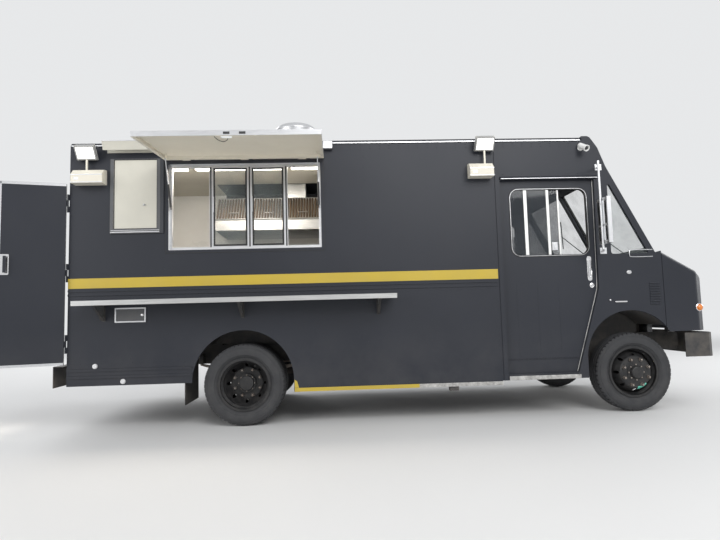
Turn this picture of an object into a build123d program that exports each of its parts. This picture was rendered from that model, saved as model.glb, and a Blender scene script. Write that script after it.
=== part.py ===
from build123d import *
from math import cos, hypot, radians, sin, sqrt
import os

# A step van fitted out as a food truck, in millimetres.
# X runs forward, Y to the driver's left, Z up from the ground. Everything is placed from the rear
# axle's centre on the truck's centre plane, and the last step moves it to the middle of its box.

# Driving sizes
wheelbase = 4013.0
body_width = 2360.0
wall = 36.0
half_body = body_width / 2
wall_inner_y = half_body - wall
seat_gap = 0.3

# Running gear
tyre_radius = 405.5
tyre_width = 225.0
rim_radius = 247.6
rim_flange_radius = 262.0
rim_half_width = 95.0
rim_well_radius = 226.0
rim_sheet = 7.0
disc_sheet = 11.0
disc_offset = 130.0
hub_radius = 91.7
nut_count = 8
nut_circle_radius = 137.5
nut_radius = 15.0
nut_height = 22.0
hand_hole_radius = 16.0
hand_hole_circle = 183.0
front_wheel_y = half_body - 195.0
rear_outer_wheel_y = half_body - 150.0
spindle_radius = 33.7
running_gap = 0.3
kingpin_y = front_wheel_y - disc_offset - 5.0
kingpin_radius = 16.0
steer_arm = 160.0

# Frame
rail_height = 200.0
rail_flange = 65.0
rail_sheet = 8.0
rail_outer_y = 435.0
rail_bottom = 580.0
body_rear_x = -1710.0
cab_front_x = wheelbase + 320.0
cab_length = 1733.0
body_front_x = cab_front_x - cab_length
hood_rake = 70.0
hood_front_corner_x = cab_front_x + 492.0
hood_front_x = hood_front_corner_x + hood_rake
rail_rear_x = body_rear_x + 60.0
rail_front_x = hood_front_x
spring_width = 70.0
spring_thickness = 48.0
spring_half_length = 570.0
front_spring_y = rail_outer_y - rail_flange / 2
rear_spring_y = rail_outer_y + 95.0
hanger_half = 30.0
front_seat_z = tyre_radius + 52.0
rear_seat_z = tyre_radius + 64.5
engine_rear_x = cab_front_x - 593.0
engine_front_x = cab_front_x + 227.0
engine_bottom = 600.0
engine_top = 1130.0
engine_half_width = 270.0
gearbox_rear_x = engine_rear_x - 690.0
gearbox_half_width = 140.0
gearbox_bottom = 500.0
gearbox_top = 690.0
radiator_rear_x = cab_front_x + 282.0
radiator_depth = 80.0
radiator_half_width = 345.0
radiator_top = 1185.0
tank_rear_x = 1250.0
tank_front_x = 2250.0
tank_outer_y = half_body - 120.0
tank_inner_y = rail_outer_y + 125.0
tank_bottom = 390.0
tank_top = 730.0
tank_neck = (2000.0, 600.0)
tank_strap_places = (1450.0, 2050.0)
silencer_radius = 105.0
silencer_length = 700.0
silencer_front_x = gearbox_rear_x - 850.0
silencer_y = 720.0
silencer_z = 560.0

bumper_bottom = 550.0
bumper_side_y = half_body - 20.0
bumper_end_x = hood_front_x - 360.0
rear_bumper_x = body_rear_x - 160.0
rear_bumper_half = half_body - 60.0
hitch_rear_x = body_rear_x - 190.0
hitch_z = 508.0
hitch_size = 76.0
hitch_pin_radius = 8.0

# Body shell
wall_top = 2800.0
roof_top = 2890.0
roof_sheet = 40.0
roof_crown = 16.0
roof_corner_radius = 60.0
rear_skirt_z = 447.0
rear_wall_bottom = 650.0
middle_skirt_z = 330.0
rear_arch_radius = 500.0
rear_arch_z = 450.0
floor_bottom = 800.0
floor_top = 840.0
wide_bearer_places = (body_rear_x + 150.0, -1060.0, 1060.0, 1620.0, body_front_x - 420.0)
arch_bearer_places = (-350.0, 350.0)
wheelhouse_sheet = 6.0
wheelhouse_inner_y = rear_outer_wheel_y - 2 * disc_offset - tyre_width / 2 - 25.5
rub_rail_heights = (1337.0, 1378.0)
rub_rail_size = 20.0
rub_rail_proud = 8.0
skirt_rail_heights = (531.0, 598.0)
sill_strip_height = 38.0

# Serving window and its hatch
window_rear_x = -735.0
window_front_x = 805.0
window_sill_z = 1765.0
window_head_z = 2650.0
window_frame_width = 28.0
window_frame_depth = 40.0
mullion_places = (-319.0, 73.0, 446.0)
mullion_width = 30.0
pane = 5.0
hatch_margin = 36.0
hatch_height = 925.0
hatch_sheet = 45.0
hatch_border = 30.0
hatch_recess = 30.0
hatch_stand_off = 10.0
hatch_open_angle = 86.0
strut_tube_radius = 11.0
strut_tube_length = 250.0
strut_rod_radius = 5.0
strut_eye_radius = 9.0
strut_eye_half = 6.0
strut_pin_radius = 4.0
strut_rod_length = 290.0
strut_foot_z = 2190.0
strut_reach = 170.0
strut_inset = 24.0

# Serving shelf and the small side window
shelf_rear_x = -1540.0
shelf_front_x = 1520.0
shelf_top_z = 1270.0
shelf_depth = 300.0
shelf_lip = 45.0
shelf_sheet = 4.0
shelf_bracket_places = (-1360.0, 0.0, 1360.0)
side_window_rear_x = -1274.0
side_window_front_x = -843.0
side_window_sill_z = 1989.0
side_window_head_z = 2700.0
side_window_frame = 46.0
visor_depth = 150.0
visor_height = 85.0
sash_width = 25.0
sash_corner = 3.0
sash_depth = 13.0

# Kitchen
counter_height = 840.0
serving_counter_depth = 544.0
serving_counter_x = (window_rear_x - 45.0, body_front_x - 900.0)
cooking_counter_depth = 624.0
cooking_counter_x = (-1000.0, 1500.0)
extractor_x = (-600.0, 1200.0)
extractor_low_z = 2200.0
extractor_high_z = 2650.0
extractor_depth = 834.0

# Lamps
tail_lamp_radius = 52.0
tail_lamp_places = (half_body - 100.0, -half_body + 730.0)
tail_lamp_heights = (985.0, 1110.0, 1235.0)
marker_lamp_size = (90.0, 34.0, 20.0)
marker_lamp_places = (-half_body + 160.0, -160.0, 0.0, 160.0, half_body - 160.0)

# Cab
front_arch_radius = 475.0
front_arch_x = wheelbase - 48.0
front_arch_z = 570.0
cab_sill_z = 371.0
mirror_reach = 220.0
mirror_tube_z = (1655.0, 2560.0)
mirror_head_size = (200.0, 460.0)
door_rear_x = body_front_x + 65.0
door_front_x = cab_front_x - 668.0
door_top_z = 2430.0
door_knee_z = 1280.0
door_knee_x = door_front_x - 16.0
door_foot_x = door_front_x - 276.0
door_foot_z = 430.0
door_lap = 10.0
door_sheet = 30.0
door_gap = 5.0
door_travel = 800.0
door_window_rear_x = door_rear_x + 110.0
door_window_front_x = door_front_x - 75.0
door_window_sill_z = 1634.0
door_window_head_z = 2338.0
door_window_radius = 90.0
roller_radius = 15.0
cap_sheet = 45.0
cap_rear_x = cab_front_x - 773.0
cap_brow = ((cab_front_x - 693.0, roof_top), (cab_front_x - 608.0, 2765.0), (cab_front_x - 533.0, 2560.0))
windshield_foot = (cab_front_x - 63.0, 1640.0)
pillar_width = 62.0
firewall_rear_x = cab_front_x - 48.0
cab_bearer_places = (body_front_x + 60.0, door_front_x - 165.0)
engine_cover_half = 350.0
engine_cover_top = 1240.0
driver_y = 450.0
driver_seat_x = cab_front_x - 1213.0
steering_wheel_radius = 205.0
louvre_count = 9
louvre_step = 26.5
louvre_width = 107.0

# Bonnet
hood_front_half_width = half_body - 140.0
hood_bottom_z = 816.0
hood_brow_z = 1390.0
hood_rear_z = 1655.0
hood_sheet = 10.0
hood_seam = 5.0
hood_corner_radius = 60.0
hood_brow_radius = 45.0
hood_pin_x = hood_front_x - 40.0
hood_pin_z = 838.0
hood_pin_radius = 8.0
hood_lug_radius = 14.0
grille_half_width = 500.0
nose_flat_half = grille_half_width + 20.0
grille_low_z = 985.0
grille_high_z = 1250.0
grille_slats = 6
headlamp_y = hood_front_half_width - 300.0
headlamp_width = 270.0
headlamp_height = 165.0
headlamp_z = 1120.0

# Rear door, hinged at the body's corner
rear_door_width = 580.0
rear_door_sheet = 34.0
rear_door_top_z = 2450.0
rear_door_bottom_z = 660.0
rear_door_open_angle = 106.0
rear_hinge_radius = 8.0
rear_hinge_heights = (860.0, 1560.0, 2260.0)
rear_hinge_length = 60.0
rear_handle_heights = (1560.0, 1720.0)


# Solids by their limits, and outlines drawn on the side, front and top views
def slab(x_low, x_high, y_low, y_high, z_low, z_high):
    middle = ((x_low + x_high) / 2, (y_low + y_high) / 2, (z_low + z_high) / 2)
    return Pos(*middle) * Box(x_high - x_low, y_high - y_low, z_high - z_low)


def outline(*corners):
    """A closed outline: each corner is its two coordinates and, if it is bent, its radius."""
    radii = [corner[2] if len(corner) > 2 else 0 for corner in corners]
    return make_face(FilletPolyline(*[corner[:2] for corner in corners], radius=radii, close=True))


def frame_outline(low_a, high_a, low_b, high_b, radius):
    return outline((low_a, low_b, radius), (high_a, low_b, radius), (high_a, high_b, radius), (low_a, high_b, radius))


def across(sketch, y_low, y_high):
    """A side view outline (X, Z) given its width."""
    return extrude(Plane.XZ.offset(-y_high) * sketch, amount=y_high - y_low)


def along(sketch, x_low, x_high):
    """A front view outline (Y, Z) given its length."""
    return extrude(Plane.YZ.offset(x_low) * sketch, amount=x_high - x_low)


def upright(sketch, z_low, z_high):
    """A plan outline (X, Y) given its height."""
    return extrude(Plane.XY.offset(z_low) * sketch, amount=z_high - z_low)


def rod_y(x, z, radius, y_low, y_high):
    return Pos(x, (y_low + y_high) / 2, z) * Rot(90, 0, 0) * Cylinder(radius, y_high - y_low)


def rod_x(y, z, radius, x_low, x_high):
    return Pos((x_low + x_high) / 2, y, z) * Rot(0, 90, 0) * Cylinder(radius, x_high - x_low)


def rod_z(x, y, radius, z_low, z_high):
    return Pos(x, y, (z_low + z_high) / 2) * Cylinder(radius, z_high - z_low)


def both_sides(piece):
    return piece + mirror(piece, about=Plane.XZ)


def other_side(piece):
    return mirror(piece, about=Plane.XZ)


# Wheels, drawn about +Z with the outboard side up
def spun(*points):
    return revolve(Plane.XZ * outline(*points), axis=Axis.Z)


def tyre():
    half = tyre_width / 2
    bead = rim_radius + running_gap
    toe, heel = half * 0.71, half * 0.75
    with BuildLine() as section:
        foot = Line((bead, -toe), (268, -heel))
        a = ThreePointArc(foot @ 1, (322, -half), (384, -half * 0.92))
        b = ThreePointArc(a @ 1, (397, -half * 0.87), (tyre_radius - 6, -half * 0.78))
        c = ThreePointArc(b @ 1, (tyre_radius, 0), (tyre_radius - 6, half * 0.78))
        d = ThreePointArc(c @ 1, (397, half * 0.87), (384, half * 0.92))
        e = ThreePointArc(d @ 1, (322, half), (268, heel))
        Polyline(e @ 1, (bead, toe), foot @ 0)
    return revolve(Plane.XZ * make_face(section.line), axis=Axis.Z)


def steel_wheel(dish):
    """Rim and pressed disc: dish is +1 with the disc bulging outboard and -1 with it set in."""
    seat, well, thin = rim_radius, rim_well_radius, rim_sheet
    edge = rim_half_width
    rim = spun((rim_flange_radius, -edge), (rim_flange_radius, -edge + thin), (seat, -edge + 12), (seat, -55),
               (well, -34), (well, 34), (seat, 55), (seat, edge - 12), (rim_flange_radius, edge - thin),
               (rim_flange_radius, edge), (seat - thin, edge), (seat - thin, 58), (well - thin, 37),
               (well - thin, -37), (seat - thin, -58), (seat - thin, -edge))
    steps = ((well - thin, 8), (200, 44), (166, disc_offset - 12), (154, disc_offset), (hub_radius, disc_offset))
    face = [(r, s * dish) for r, s in steps]
    back = [(r, (s - disc_sheet) * dish) for r, s in reversed(steps)]
    disc = spun(*face, *back)
    holes = [Rot(0, 0, 45 * i) * Pos(hand_hole_circle, 0, dish * 80) * Cylinder(hand_hole_radius, 120)
             for i in range(8)]
    return rim + (disc - holes)


def wheel_nuts(face):
    turns = [Rot(0, 0, 22.5 + 360 / nut_count * i) for i in range(nut_count)]
    return [turn * Pos(nut_circle_radius, 0, face + nut_height / 2) * Cylinder(nut_radius, nut_height)
            for turn in turns]


def front_wheel():
    bore = spindle_radius + running_gap
    hub = spun((bore, -60), (hub_radius, -60), (hub_radius, disc_offset - 36), (158, disc_offset - 36),
               (158, disc_offset - disc_sheet), (hub_radius, disc_offset - disc_sheet),
               (hub_radius, disc_offset + 6), (66, disc_offset + 6), (62, disc_offset + 44, 14),
               (0.01, disc_offset + 50), (0.01, disc_offset - 18), (bore, disc_offset - 18))
    drum = spun((164, -72), (184, -72), (184, 10), (88, 10), (88, -4), (164, -4))
    wheel = steel_wheel(1) + hub + drum
    for nut in wheel_nuts(disc_offset):
        wheel += nut
    return wheel


def rear_wheel_pair():
    """Outer wheel at the origin and the inner one behind it, bolted face to face on one hub."""
    inner = Pos(0, 0, -2 * disc_offset) * steel_wheel(1)
    outer = steel_wheel(-1)
    bore = spindle_radius + running_gap
    drum_face = -disc_offset - disc_sheet - 62
    hub_end = drum_face - 12
    hub = spun((bore, hub_end), (hub_radius, hub_end), (hub_radius, -60), (78, -60), (74, -24, 10), (0.01, -20),
               (0.01, -80), (bore, -80))
    drum = spun((160, -330), (182, -330), (182, drum_face), (88, drum_face), (88, drum_face - 16),
                (160, drum_face - 16))
    pair = inner + outer + hub + drum
    for nut in wheel_nuts(-disc_offset + disc_sheet):
        pair += nut
    return pair


def set_wheel(piece, x, y):
    """Stands a wheel piece up on the right-hand side, its outboard face towards -Y."""
    return Pos(x, -y, tyre_radius) * Rot(90, 0, 0) * piece


# Frame, springs and axles
def chassis_frame():
    y = rail_outer_y
    top = rail_bottom + rail_height
    lip, web, low = -y + rail_flange, -y + rail_sheet, rail_bottom + rail_sheet
    channel = outline((-y, rail_bottom), (lip, rail_bottom), (lip, low), (web, low), (web, top - rail_sheet),
                      (lip, top - rail_sheet), (lip, top), (-y, top))
    frame = both_sides(along(channel, rail_rear_x, rail_front_x))
    inner = y - rail_sheet
    for x in (rail_rear_x + 50, -620.0, 620.0, 1500.0, 2500.0):
        frame += slab(x - 35, x + 35, -inner, inner, rail_bottom + 20, rail_bottom + 60)
    # Under the engine's front end and, dropped below the rails, under the gearbox
    mount_x, sling_x = engine_front_x - 220, gearbox_rear_x + 150
    frame += slab(mount_x - 40, mount_x + 40, -inner, inner, rail_bottom, engine_bottom - seat_gap)
    frame += slab(sling_x - 35, sling_x + 35, -inner, inner, gearbox_bottom - 40, gearbox_bottom - seat_gap)
    frame += both_sides(slab(sling_x - 35, sling_x + 35, -inner, -inner + 50, gearbox_bottom - 40, rail_bottom + 20))
    # And under the radiator
    frame += slab(radiator_rear_x - 15, radiator_rear_x + radiator_depth + 15, -inner, inner, rail_bottom - 20,
                  rail_bottom + 20 - seat_gap)
    # Spring hangers: the front pair under the rails, the rear pair outboard of them
    low = rail_bottom - 24
    for end in (-1, 1):
        x = wheelbase + end * spring_half_length
        frame += both_sides(slab(x - hanger_half, x + hanger_half, -y, -y + rail_flange, low + 3, rail_bottom))
        x = end * spring_half_length
        frame += both_sides(slab(x - hanger_half, x + hanger_half, -rear_spring_y - spring_width / 2, -y, low + 23,
                                 rail_bottom + 90))
    # Lugs and pins that the bonnet tilts on, each reaching forward from a post on its rail
    boss = hood_lug_radius
    lug_outer_y, lug_inner_y = -rail_outer_y + 13, -rail_outer_y + 35
    post_rear = hood_pin_x - 65
    lug = slab(post_rear, post_rear + 30, lug_outer_y, lug_inner_y, top, hood_pin_z + boss)
    lug += slab(post_rear, hood_pin_x, lug_outer_y, lug_inner_y, hood_pin_z - boss, hood_pin_z + boss)
    lug += rod_y(hood_pin_x, hood_pin_z, boss, lug_outer_y, lug_inner_y)
    frame += both_sides(lug + rod_y(hood_pin_x, hood_pin_z, hood_pin_radius, lug_inner_y, lug_inner_y + 28))
    return frame


def leaf_spring(x, y, seat, rise):
    """A pack bent like a bow: low on the axle seat, its two ends up at the hangers."""
    half = spring_half_length
    mid = seat + spring_thickness
    with BuildLine() as bow:
        upper = ThreePointArc((x - half, rise), (x, mid), (x + half, rise))
        right = Line(upper @ 1, (x + half, rise - 14))
        lower = ThreePointArc(right @ 1, (x, seat), (x - half, rise - 14))
        Line(lower @ 1, upper @ 0)
    return across(make_face(bow.line), y - spring_width / 2, y + spring_width / 2)


def leaf_springs():
    front = leaf_spring(wheelbase, -front_spring_y, front_seat_z + seat_gap, rail_bottom - 21 - seat_gap)
    rear = leaf_spring(0, -rear_spring_y, rear_seat_z + seat_gap, rail_bottom - 1 - seat_gap)
    return both_sides(front) + both_sides(rear)


def front_axle():
    z = tyre_radius
    boss_low, boss_high = z - 60, z + 60
    beam_section = outline((-32, -50), (32, -50), (32, -36), (8, -28), (8, 28), (32, 36), (32, 50), (-32, 50),
                           (-32, 36), (-8, 28), (-8, -28), (-32, -36))
    reach = kingpin_y - 20
    beam = extrude(Plane.XZ.offset(-reach) * (Pos(wheelbase, z) * beam_section), amount=2 * reach)
    pads = both_sides(slab(wheelbase - 60, wheelbase + 60, -front_spring_y - 40, -front_spring_y + 40, z + 40,
                           front_seat_z))
    ends = both_sides(rod_z(wheelbase, -kingpin_y, 38, boss_low, boss_high)
                      + rod_z(wheelbase, -kingpin_y, kingpin_radius, z - 108, z + 108))
    return beam + pads + ends


def knuckle_right():
    x, z, y = wheelbase, tyre_radius, -kingpin_y
    ears = slab(x - 38, x + 38, y - 60, y + 36, z + 66, z + 98) + slab(x - 38, x + 38, y - 60, y + 36, z - 98, z - 66)
    plate = slab(x - 45, x + 45, y - 72, y - 46, z - 98, z + 98)
    spindle = rod_y(x, z, spindle_radius, -front_wheel_y - disc_offset + 22, y - 60)
    arm = slab(x - steer_arm - 22, x - 30, y + 4, y + 34, z - 98, z - 74)
    hole = rod_z(x, y, kingpin_radius + running_gap, z - 120, z + 120)
    return ears + plate + spindle + arm - hole


def tie_rod():
    x = wheelbase - steer_arm
    y = kingpin_y - 19
    z_top = tyre_radius - 98 - seat_gap
    ends = both_sides(rod_z(x, -y, 20, z_top - 22, z_top))
    return ends + rod_y(x, z_top - 11, 9, -y, y)


def rear_axle():
    z = tyre_radius
    tube_end, stub_end = rear_outer_wheel_y - 340, rear_outer_wheel_y - 90
    tube = rod_y(0, z, 58, -tube_end, tube_end)
    stubs = both_sides(rod_y(0, z, spindle_radius, -stub_end, -tube_end + 10))
    bowl = Pos(0, 0, z) * Sphere(185)
    nose = rod_x(0, z + 20, 62, 120, 330)
    pads = both_sides(slab(-60, 60, -rear_spring_y - 40, -rear_spring_y + 40, z + 40, rear_seat_z))
    low_end, high_end = Vector(320, 0, z + 20), Vector(gearbox_rear_x - 10, 0, gearbox_bottom + 60)
    run = high_end - low_end
    shaft = extrude(Plane(origin=low_end, z_dir=run) * Circle(38), amount=run.length)
    return tube + stubs + bowl + nose + pads + shaft


# Engine, tank, exhaust and bumpers
def engine_block():
    side, small_side = engine_half_width, gearbox_half_width
    block = slab(engine_rear_x, engine_front_x, -side, side, engine_bottom, engine_top)
    return block + slab(gearbox_rear_x, engine_rear_x, -small_side, small_side, gearbox_bottom, gearbox_top)


def radiator():
    x_low, x_high = radiator_rear_x, radiator_rear_x + radiator_depth
    side, low = radiator_half_width, rail_bottom + 20
    core = slab(x_low + 10, x_high - 10, -side + 15, side - 15, low + 40, radiator_top - 35)
    bottom_tank = slab(x_low, x_high, -side, side, low, low + 50)
    return core + bottom_tank + slab(x_low, x_high, -side, side, radiator_top - 45, radiator_top)


def fuel_tank():
    section = frame_outline(-tank_outer_y, -tank_inner_y, tank_bottom, tank_top, 70)
    tank = along(section, tank_rear_x, tank_front_x)
    tank += rod_y(*tank_neck, 30, -tank_outer_y - 40, -tank_outer_y + 20)
    for x in tank_strap_places:
        tank += slab(x - 25, x + 25, -tank_inner_y - 40, -rail_outer_y, rail_bottom - 20, rail_bottom + 20)
    return tank


def exhaust_pipe():
    y, z, x = silencer_y, silencer_z, silencer_front_x - silencer_length
    silencer = rod_x(y, z, silencer_radius, x, silencer_front_x)
    route = FilletPolyline((x + 20, y, z), (x - 320, y, z), (x - 420, y + 20, 270), (x - 420, half_body - 30, 270),
                           radius=120)
    tail = sweep(Plane(origin=route @ 0, z_dir=route % 0) * (Circle(38) - Circle(34)), path=route)
    port_y, port_z = gearbox_half_width + 65, engine_bottom + 50
    feed_path = FilletPolyline((silencer_front_x - 20, y, z), (gearbox_rear_x - 600, y, z - 30), (gearbox_rear_x - 220, 250, z - 30),
                               (gearbox_rear_x + 30, port_y, port_z), (engine_rear_x - seat_gap, port_y, port_z),
                               radius=100)
    feed = sweep(Plane(origin=feed_path @ 0, z_dir=feed_path % 0) * Circle(34), path=feed_path)
    hanger = slab(x + 320, x + 380, rail_outer_y, y - 80, z, z + 40)
    return silencer + tail + feed + hanger


def bumpers():
    low, high = bumper_bottom, hood_bottom_z - 20
    side, end_x, nose_x = bumper_side_y, bumper_end_x, hood_front_x
    with BuildSketch() as plan:
        with BuildLine():
            face = ThreePointArc((nose_x - 23, -side + 110), (nose_x + 50, 0), (nose_x - 23, side - 110))
            left = Polyline(face @ 1, (nose_x - 60, side - 30), (nose_x - 105, side), (end_x, side),
                            (end_x, side - 10), (nose_x - 110, side - 10), (nose_x - 69, side - 38),
                            (nose_x - 33, side - 112))
            back = ThreePointArc(left @ 1, (nose_x + 40, 0), (nose_x - 33, -side + 112))
            Polyline(back @ 1, (nose_x - 69, -side + 38), (nose_x - 110, -side + 10), (end_x, -side + 10),
                     (end_x, -side), (nose_x - 105, -side), (nose_x - 60, -side + 30), face @ 0)
        make_face()
    front = upright(plan.sketch, low, high)
    lips = upright(plan.sketch, low, low + 10)
    horns = both_sides(slab(rail_front_x, nose_x + 30, -rail_outer_y, -rail_outer_y + rail_flange, low + 60,
                            high - 30))
    step_x, step_half, step_top, sheet = rear_bumper_x, rear_bumper_half, rear_wall_bottom - 10, 8
    rear = slab(step_x, step_x + sheet, -step_half, step_half, step_top - 210, step_top)
    rear += slab(step_x, body_rear_x - 60, -step_half, step_half, step_top - sheet, step_top)
    arms = both_sides(slab(step_x + sheet, rail_rear_x, -rail_outer_y + 10, -rail_outer_y + 50, step_top - 80,
                           step_top - sheet))
    # Square receiver for a tow bar, with its pin's hole, through the rear bumper
    mid_z, half, tube_sheet = hitch_z, hitch_size / 2, 12.5
    receiver = slab(hitch_rear_x, rail_rear_x, -half, half, mid_z - half, mid_z + half)
    hollow = half - tube_sheet
    socket = slab(hitch_rear_x - 10, rail_rear_x - 40, -hollow, hollow, mid_z - hollow, mid_z + hollow)
    socket += rod_y(hitch_rear_x + 18, mid_z, hitch_pin_radius, -60, 60)
    post = slab(rail_rear_x - 40, rail_rear_x, -half, half, mid_z + half - 6, step_top - sheet)
    spine = slab(rail_rear_x - 40, rail_rear_x, -rail_outer_y + 10, rail_outer_y - 10, step_top - 40,
                 step_top - sheet)
    return front + lips + horns + rear + arms + receiver + post + spine - socket


# Floor and walls
def rear_wheelhouse():
    """Half drum over the rear twins, open to the wheel and shut towards the kitchen."""
    outer = rear_arch_radius + 35 + wheelhouse_sheet
    top = rod_y(0, rear_arch_z, outer, -wall_inner_y, -wheelhouse_inner_y + wheelhouse_sheet)
    hollow = rod_y(0, rear_arch_z, outer - wheelhouse_sheet, -wall_inner_y, -wheelhouse_inner_y)
    above = slab(-outer, outer, -wall_inner_y, -wheelhouse_inner_y + wheelhouse_sheet, floor_bottom, floor_top + 400)
    return (top & above), hollow


def bearer(x, half_length):
    """A bar across the rails that the floor rests on."""
    return slab(x - 30, x + 30, -half_length, half_length, rail_bottom + rail_height + seat_gap, floor_bottom)


def body_floor():
    x_low, x_high = body_rear_x + wall, body_front_x
    floor = slab(x_low, x_high, -wall_inner_y, wall_inner_y, floor_bottom, floor_top)
    for x in wide_bearer_places:
        floor += bearer(x, wall_inner_y - 60)
    for x in arch_bearer_places:
        floor += bearer(x, wheelhouse_inner_y - 30)
    pocket_x = door_rear_x - door_travel - 60
    pocket_y = wall_inner_y - door_gap - door_sheet - 12
    floor -= both_sides(slab(pocket_x, x_high, -wall_inner_y, -pocket_y, floor_bottom, floor_top))
    house, hollow = rear_wheelhouse()
    floor = floor + both_sides(house)
    return floor - both_sides(hollow)


def side_outline():
    """Body side: the skirt is lower between the wheels, and the rear arch is round."""
    edge = rear_arch_radius
    sheet = outline((body_rear_x, rear_skirt_z), (0, rear_skirt_z), (0, middle_skirt_z),
                    (body_front_x, middle_skirt_z), (body_front_x, wall_top), (body_rear_x, wall_top))
    arch = Pos(0, rear_arch_z) * Circle(edge)
    below = Pos(0, (middle_skirt_z + rear_arch_z) / 2 - 20) * Rectangle(2 * edge, rear_arch_z - middle_skirt_z + 40)
    return sheet - arch - below


def side_wall_left():
    y = half_body
    panel = across(side_outline(), wall_inner_y, y)
    for z in rub_rail_heights:
        panel += slab(body_rear_x, body_front_x, y, y + rub_rail_proud, z - rub_rail_size / 2,
                      z + rub_rail_size / 2)
    for z in skirt_rail_heights:
        panel += slab(body_rear_x, -rear_arch_radius, y, y + rub_rail_proud, z - 12, z + 12)
    panel += slab(rear_arch_radius, body_front_x, y, y + 6, middle_skirt_z, middle_skirt_z + sill_strip_height)
    return panel


def side_wall_right():
    panel = other_side(side_wall_left())
    serving = frame_outline(window_rear_x, window_front_x, window_sill_z, window_head_z, 12)
    panel -= across(serving, -half_body - 20, -wall_inner_y + 20)
    side = frame_outline(side_window_rear_x, side_window_front_x, side_window_sill_z, side_window_head_z, 12)
    panel -= across(side, -half_body - 20, -wall_inner_y + 20)
    hinge_y, hinge_z = hatch_hinge()
    for x in hatch_hinge_places():
        panel += rod_x(hinge_y, hinge_z, 6, x + 40.5, x + 80)
        panel += slab(x + 40.5, x + 80, hinge_y, -half_body, hinge_z - 3, hinge_z + 3)
    return panel


def roof():
    y, top = half_body, roof_top
    with BuildLine() as section:
        crown = ThreePointArc((-y + roof_corner_radius, top), (0, top + roof_crown), (y - roof_corner_radius, top))
        left = RadiusArc(crown @ 1, (y, top - roof_corner_radius), roof_corner_radius)
        rest = Polyline(left @ 1, (y, wall_top), (y - 45, wall_top), (y - 45, top - roof_sheet),
                        (-y + 45, top - roof_sheet), (-y + 45, wall_top), (-y, wall_top),
                        (-y, top - roof_corner_radius))
        RadiusArc(rest @ 1, crown @ 0, roof_corner_radius)
    return along(make_face(section.line), body_rear_x, cap_rear_x)


def rear_wall():
    y, head_y, head = wall_inner_y, wall_inner_y - 9, roof_top - roof_sheet
    sheet = outline((-y, rear_wall_bottom), (y, rear_wall_bottom), (y, wall_top), (head_y, wall_top), (head_y, head),
                    (-head_y, head), (-head_y, wall_top), (-y, wall_top))
    x_low, x_high = body_rear_x, body_rear_x + wall
    panel = along(sheet, x_low, x_high)
    panel -= slab(x_low - 5, x_high + 5, -y + 22, -half_body + rear_door_width, rear_door_bottom_z + 20,
                  rear_door_top_z - 20)
    for z in (floor_top + 60, rear_door_top_z):
        panel += slab(x_low - 10, x_low, -half_body + rear_door_width + 40, y - 30, z - 20, z + 20)
    hinge_x, hinge_y = rear_hinge_place()
    for z in rear_hinge_heights:
        for side in (-1, 1):
            middle = z + side * (rear_hinge_length + 1)
            low, high = middle - rear_hinge_length / 2, middle + rear_hinge_length / 2
            panel += rod_z(hinge_x, hinge_y, rear_hinge_radius, low, high)
            panel += slab(x_low - 3, x_low, hinge_y + 4, -y + 14, low, high)
            panel += slab(hinge_x, x_low - 1, hinge_y - 3, hinge_y + 6, low, high)
        panel += rod_z(hinge_x, hinge_y, 3.5, z - rear_hinge_length, z + rear_hinge_length)
    return panel


# Rear door, drawn shut and then swung about its corner hinge
def rear_hinge_place():
    return body_rear_x - 13, -half_body - 5


def rear_door():
    hinge_x, hinge_y = rear_hinge_place()
    inner_x = body_rear_x - 15
    leaf = slab(inner_x - rear_door_sheet, inner_x, hinge_y + 10, hinge_y + 10 + rear_door_width,
                rear_door_bottom_z, rear_door_top_z)
    for z in rear_hinge_heights:
        low, high = z - rear_hinge_length / 2, z + rear_hinge_length / 2
        leaf += rod_z(hinge_x, hinge_y, rear_hinge_radius, low, high)
        leaf += slab(inner_x - 6, inner_x, hinge_y, hinge_y + 14, low, high)
        leaf -= rod_z(hinge_x, hinge_y, 3.5 + running_gap, low - 1, high + 1)
    outer_x, handle_y = inner_x - rear_door_sheet, hinge_y + rear_door_width - 60
    low, high = rear_handle_heights
    leaf += slab(outer_x - 40, outer_x - 28, handle_y - 12, handle_y + 12, low, high)
    for z in (low + 15, high - 15):
        leaf += slab(outer_x - 30, outer_x, handle_y - 8, handle_y + 8, z - 8, z + 8)
    turn = Pos(hinge_x, hinge_y, 0) * Rot(0, 0, rear_door_open_angle) * Pos(-hinge_x, -hinge_y, 0)
    return turn * leaf


# Cab
def cap_line(depth):
    """The cab's front in side view, from the roof down to the windshield's foot, moved in by a depth."""
    points = [(cap_rear_x, roof_top), *cap_brow, windshield_foot]
    moved = []
    for i, (x, z) in enumerate(points):
        before = points[max(i - 1, 0)]
        after = points[min(i + 1, len(points) - 1)]
        normals = []
        for (xa, za), (xb, zb) in ((before, (x, z)), ((x, z), after)):
            length = hypot(xb - xa, zb - za)
            if length > 0:
                normals.append(((zb - za) / length, -(xb - xa) / length))
        nx = sum(n[0] for n in normals) / len(normals)
        nz = sum(n[1] for n in normals) / len(normals)
        scale = depth / (nx * nx + nz * nz)
        moved.append((x + nx * scale, z + nz * scale))
    return moved


brow_radii = (60.0, 130.0, 420.0)


def cap_outline():
    outer, inner = cap_line(0), cap_line(cap_sheet)
    bent_outer = [(*p, r) for p, r in zip(outer[1:-1], brow_radii)]
    bent_inner = [(*p, max(r - cap_sheet, 8)) for p, r in zip(inner[1:-1], brow_radii)]
    return outline(outer[0], *bent_outer, outer[-1], inner[-1], *reversed(bent_inner), inner[0])


def slope_place(run, depth):
    """A place on the windshield's slope: down from its head, and in from its outer face."""
    (x_a, z_a), (x_b, z_b) = cap_brow[-1], windshield_foot
    length = hypot(x_b - x_a, z_b - z_a)
    dx, dz = (x_b - x_a) / length, (z_b - z_a) / length
    return x_a + dx * run + dz * depth, z_a + dz * run - dx * depth


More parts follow.
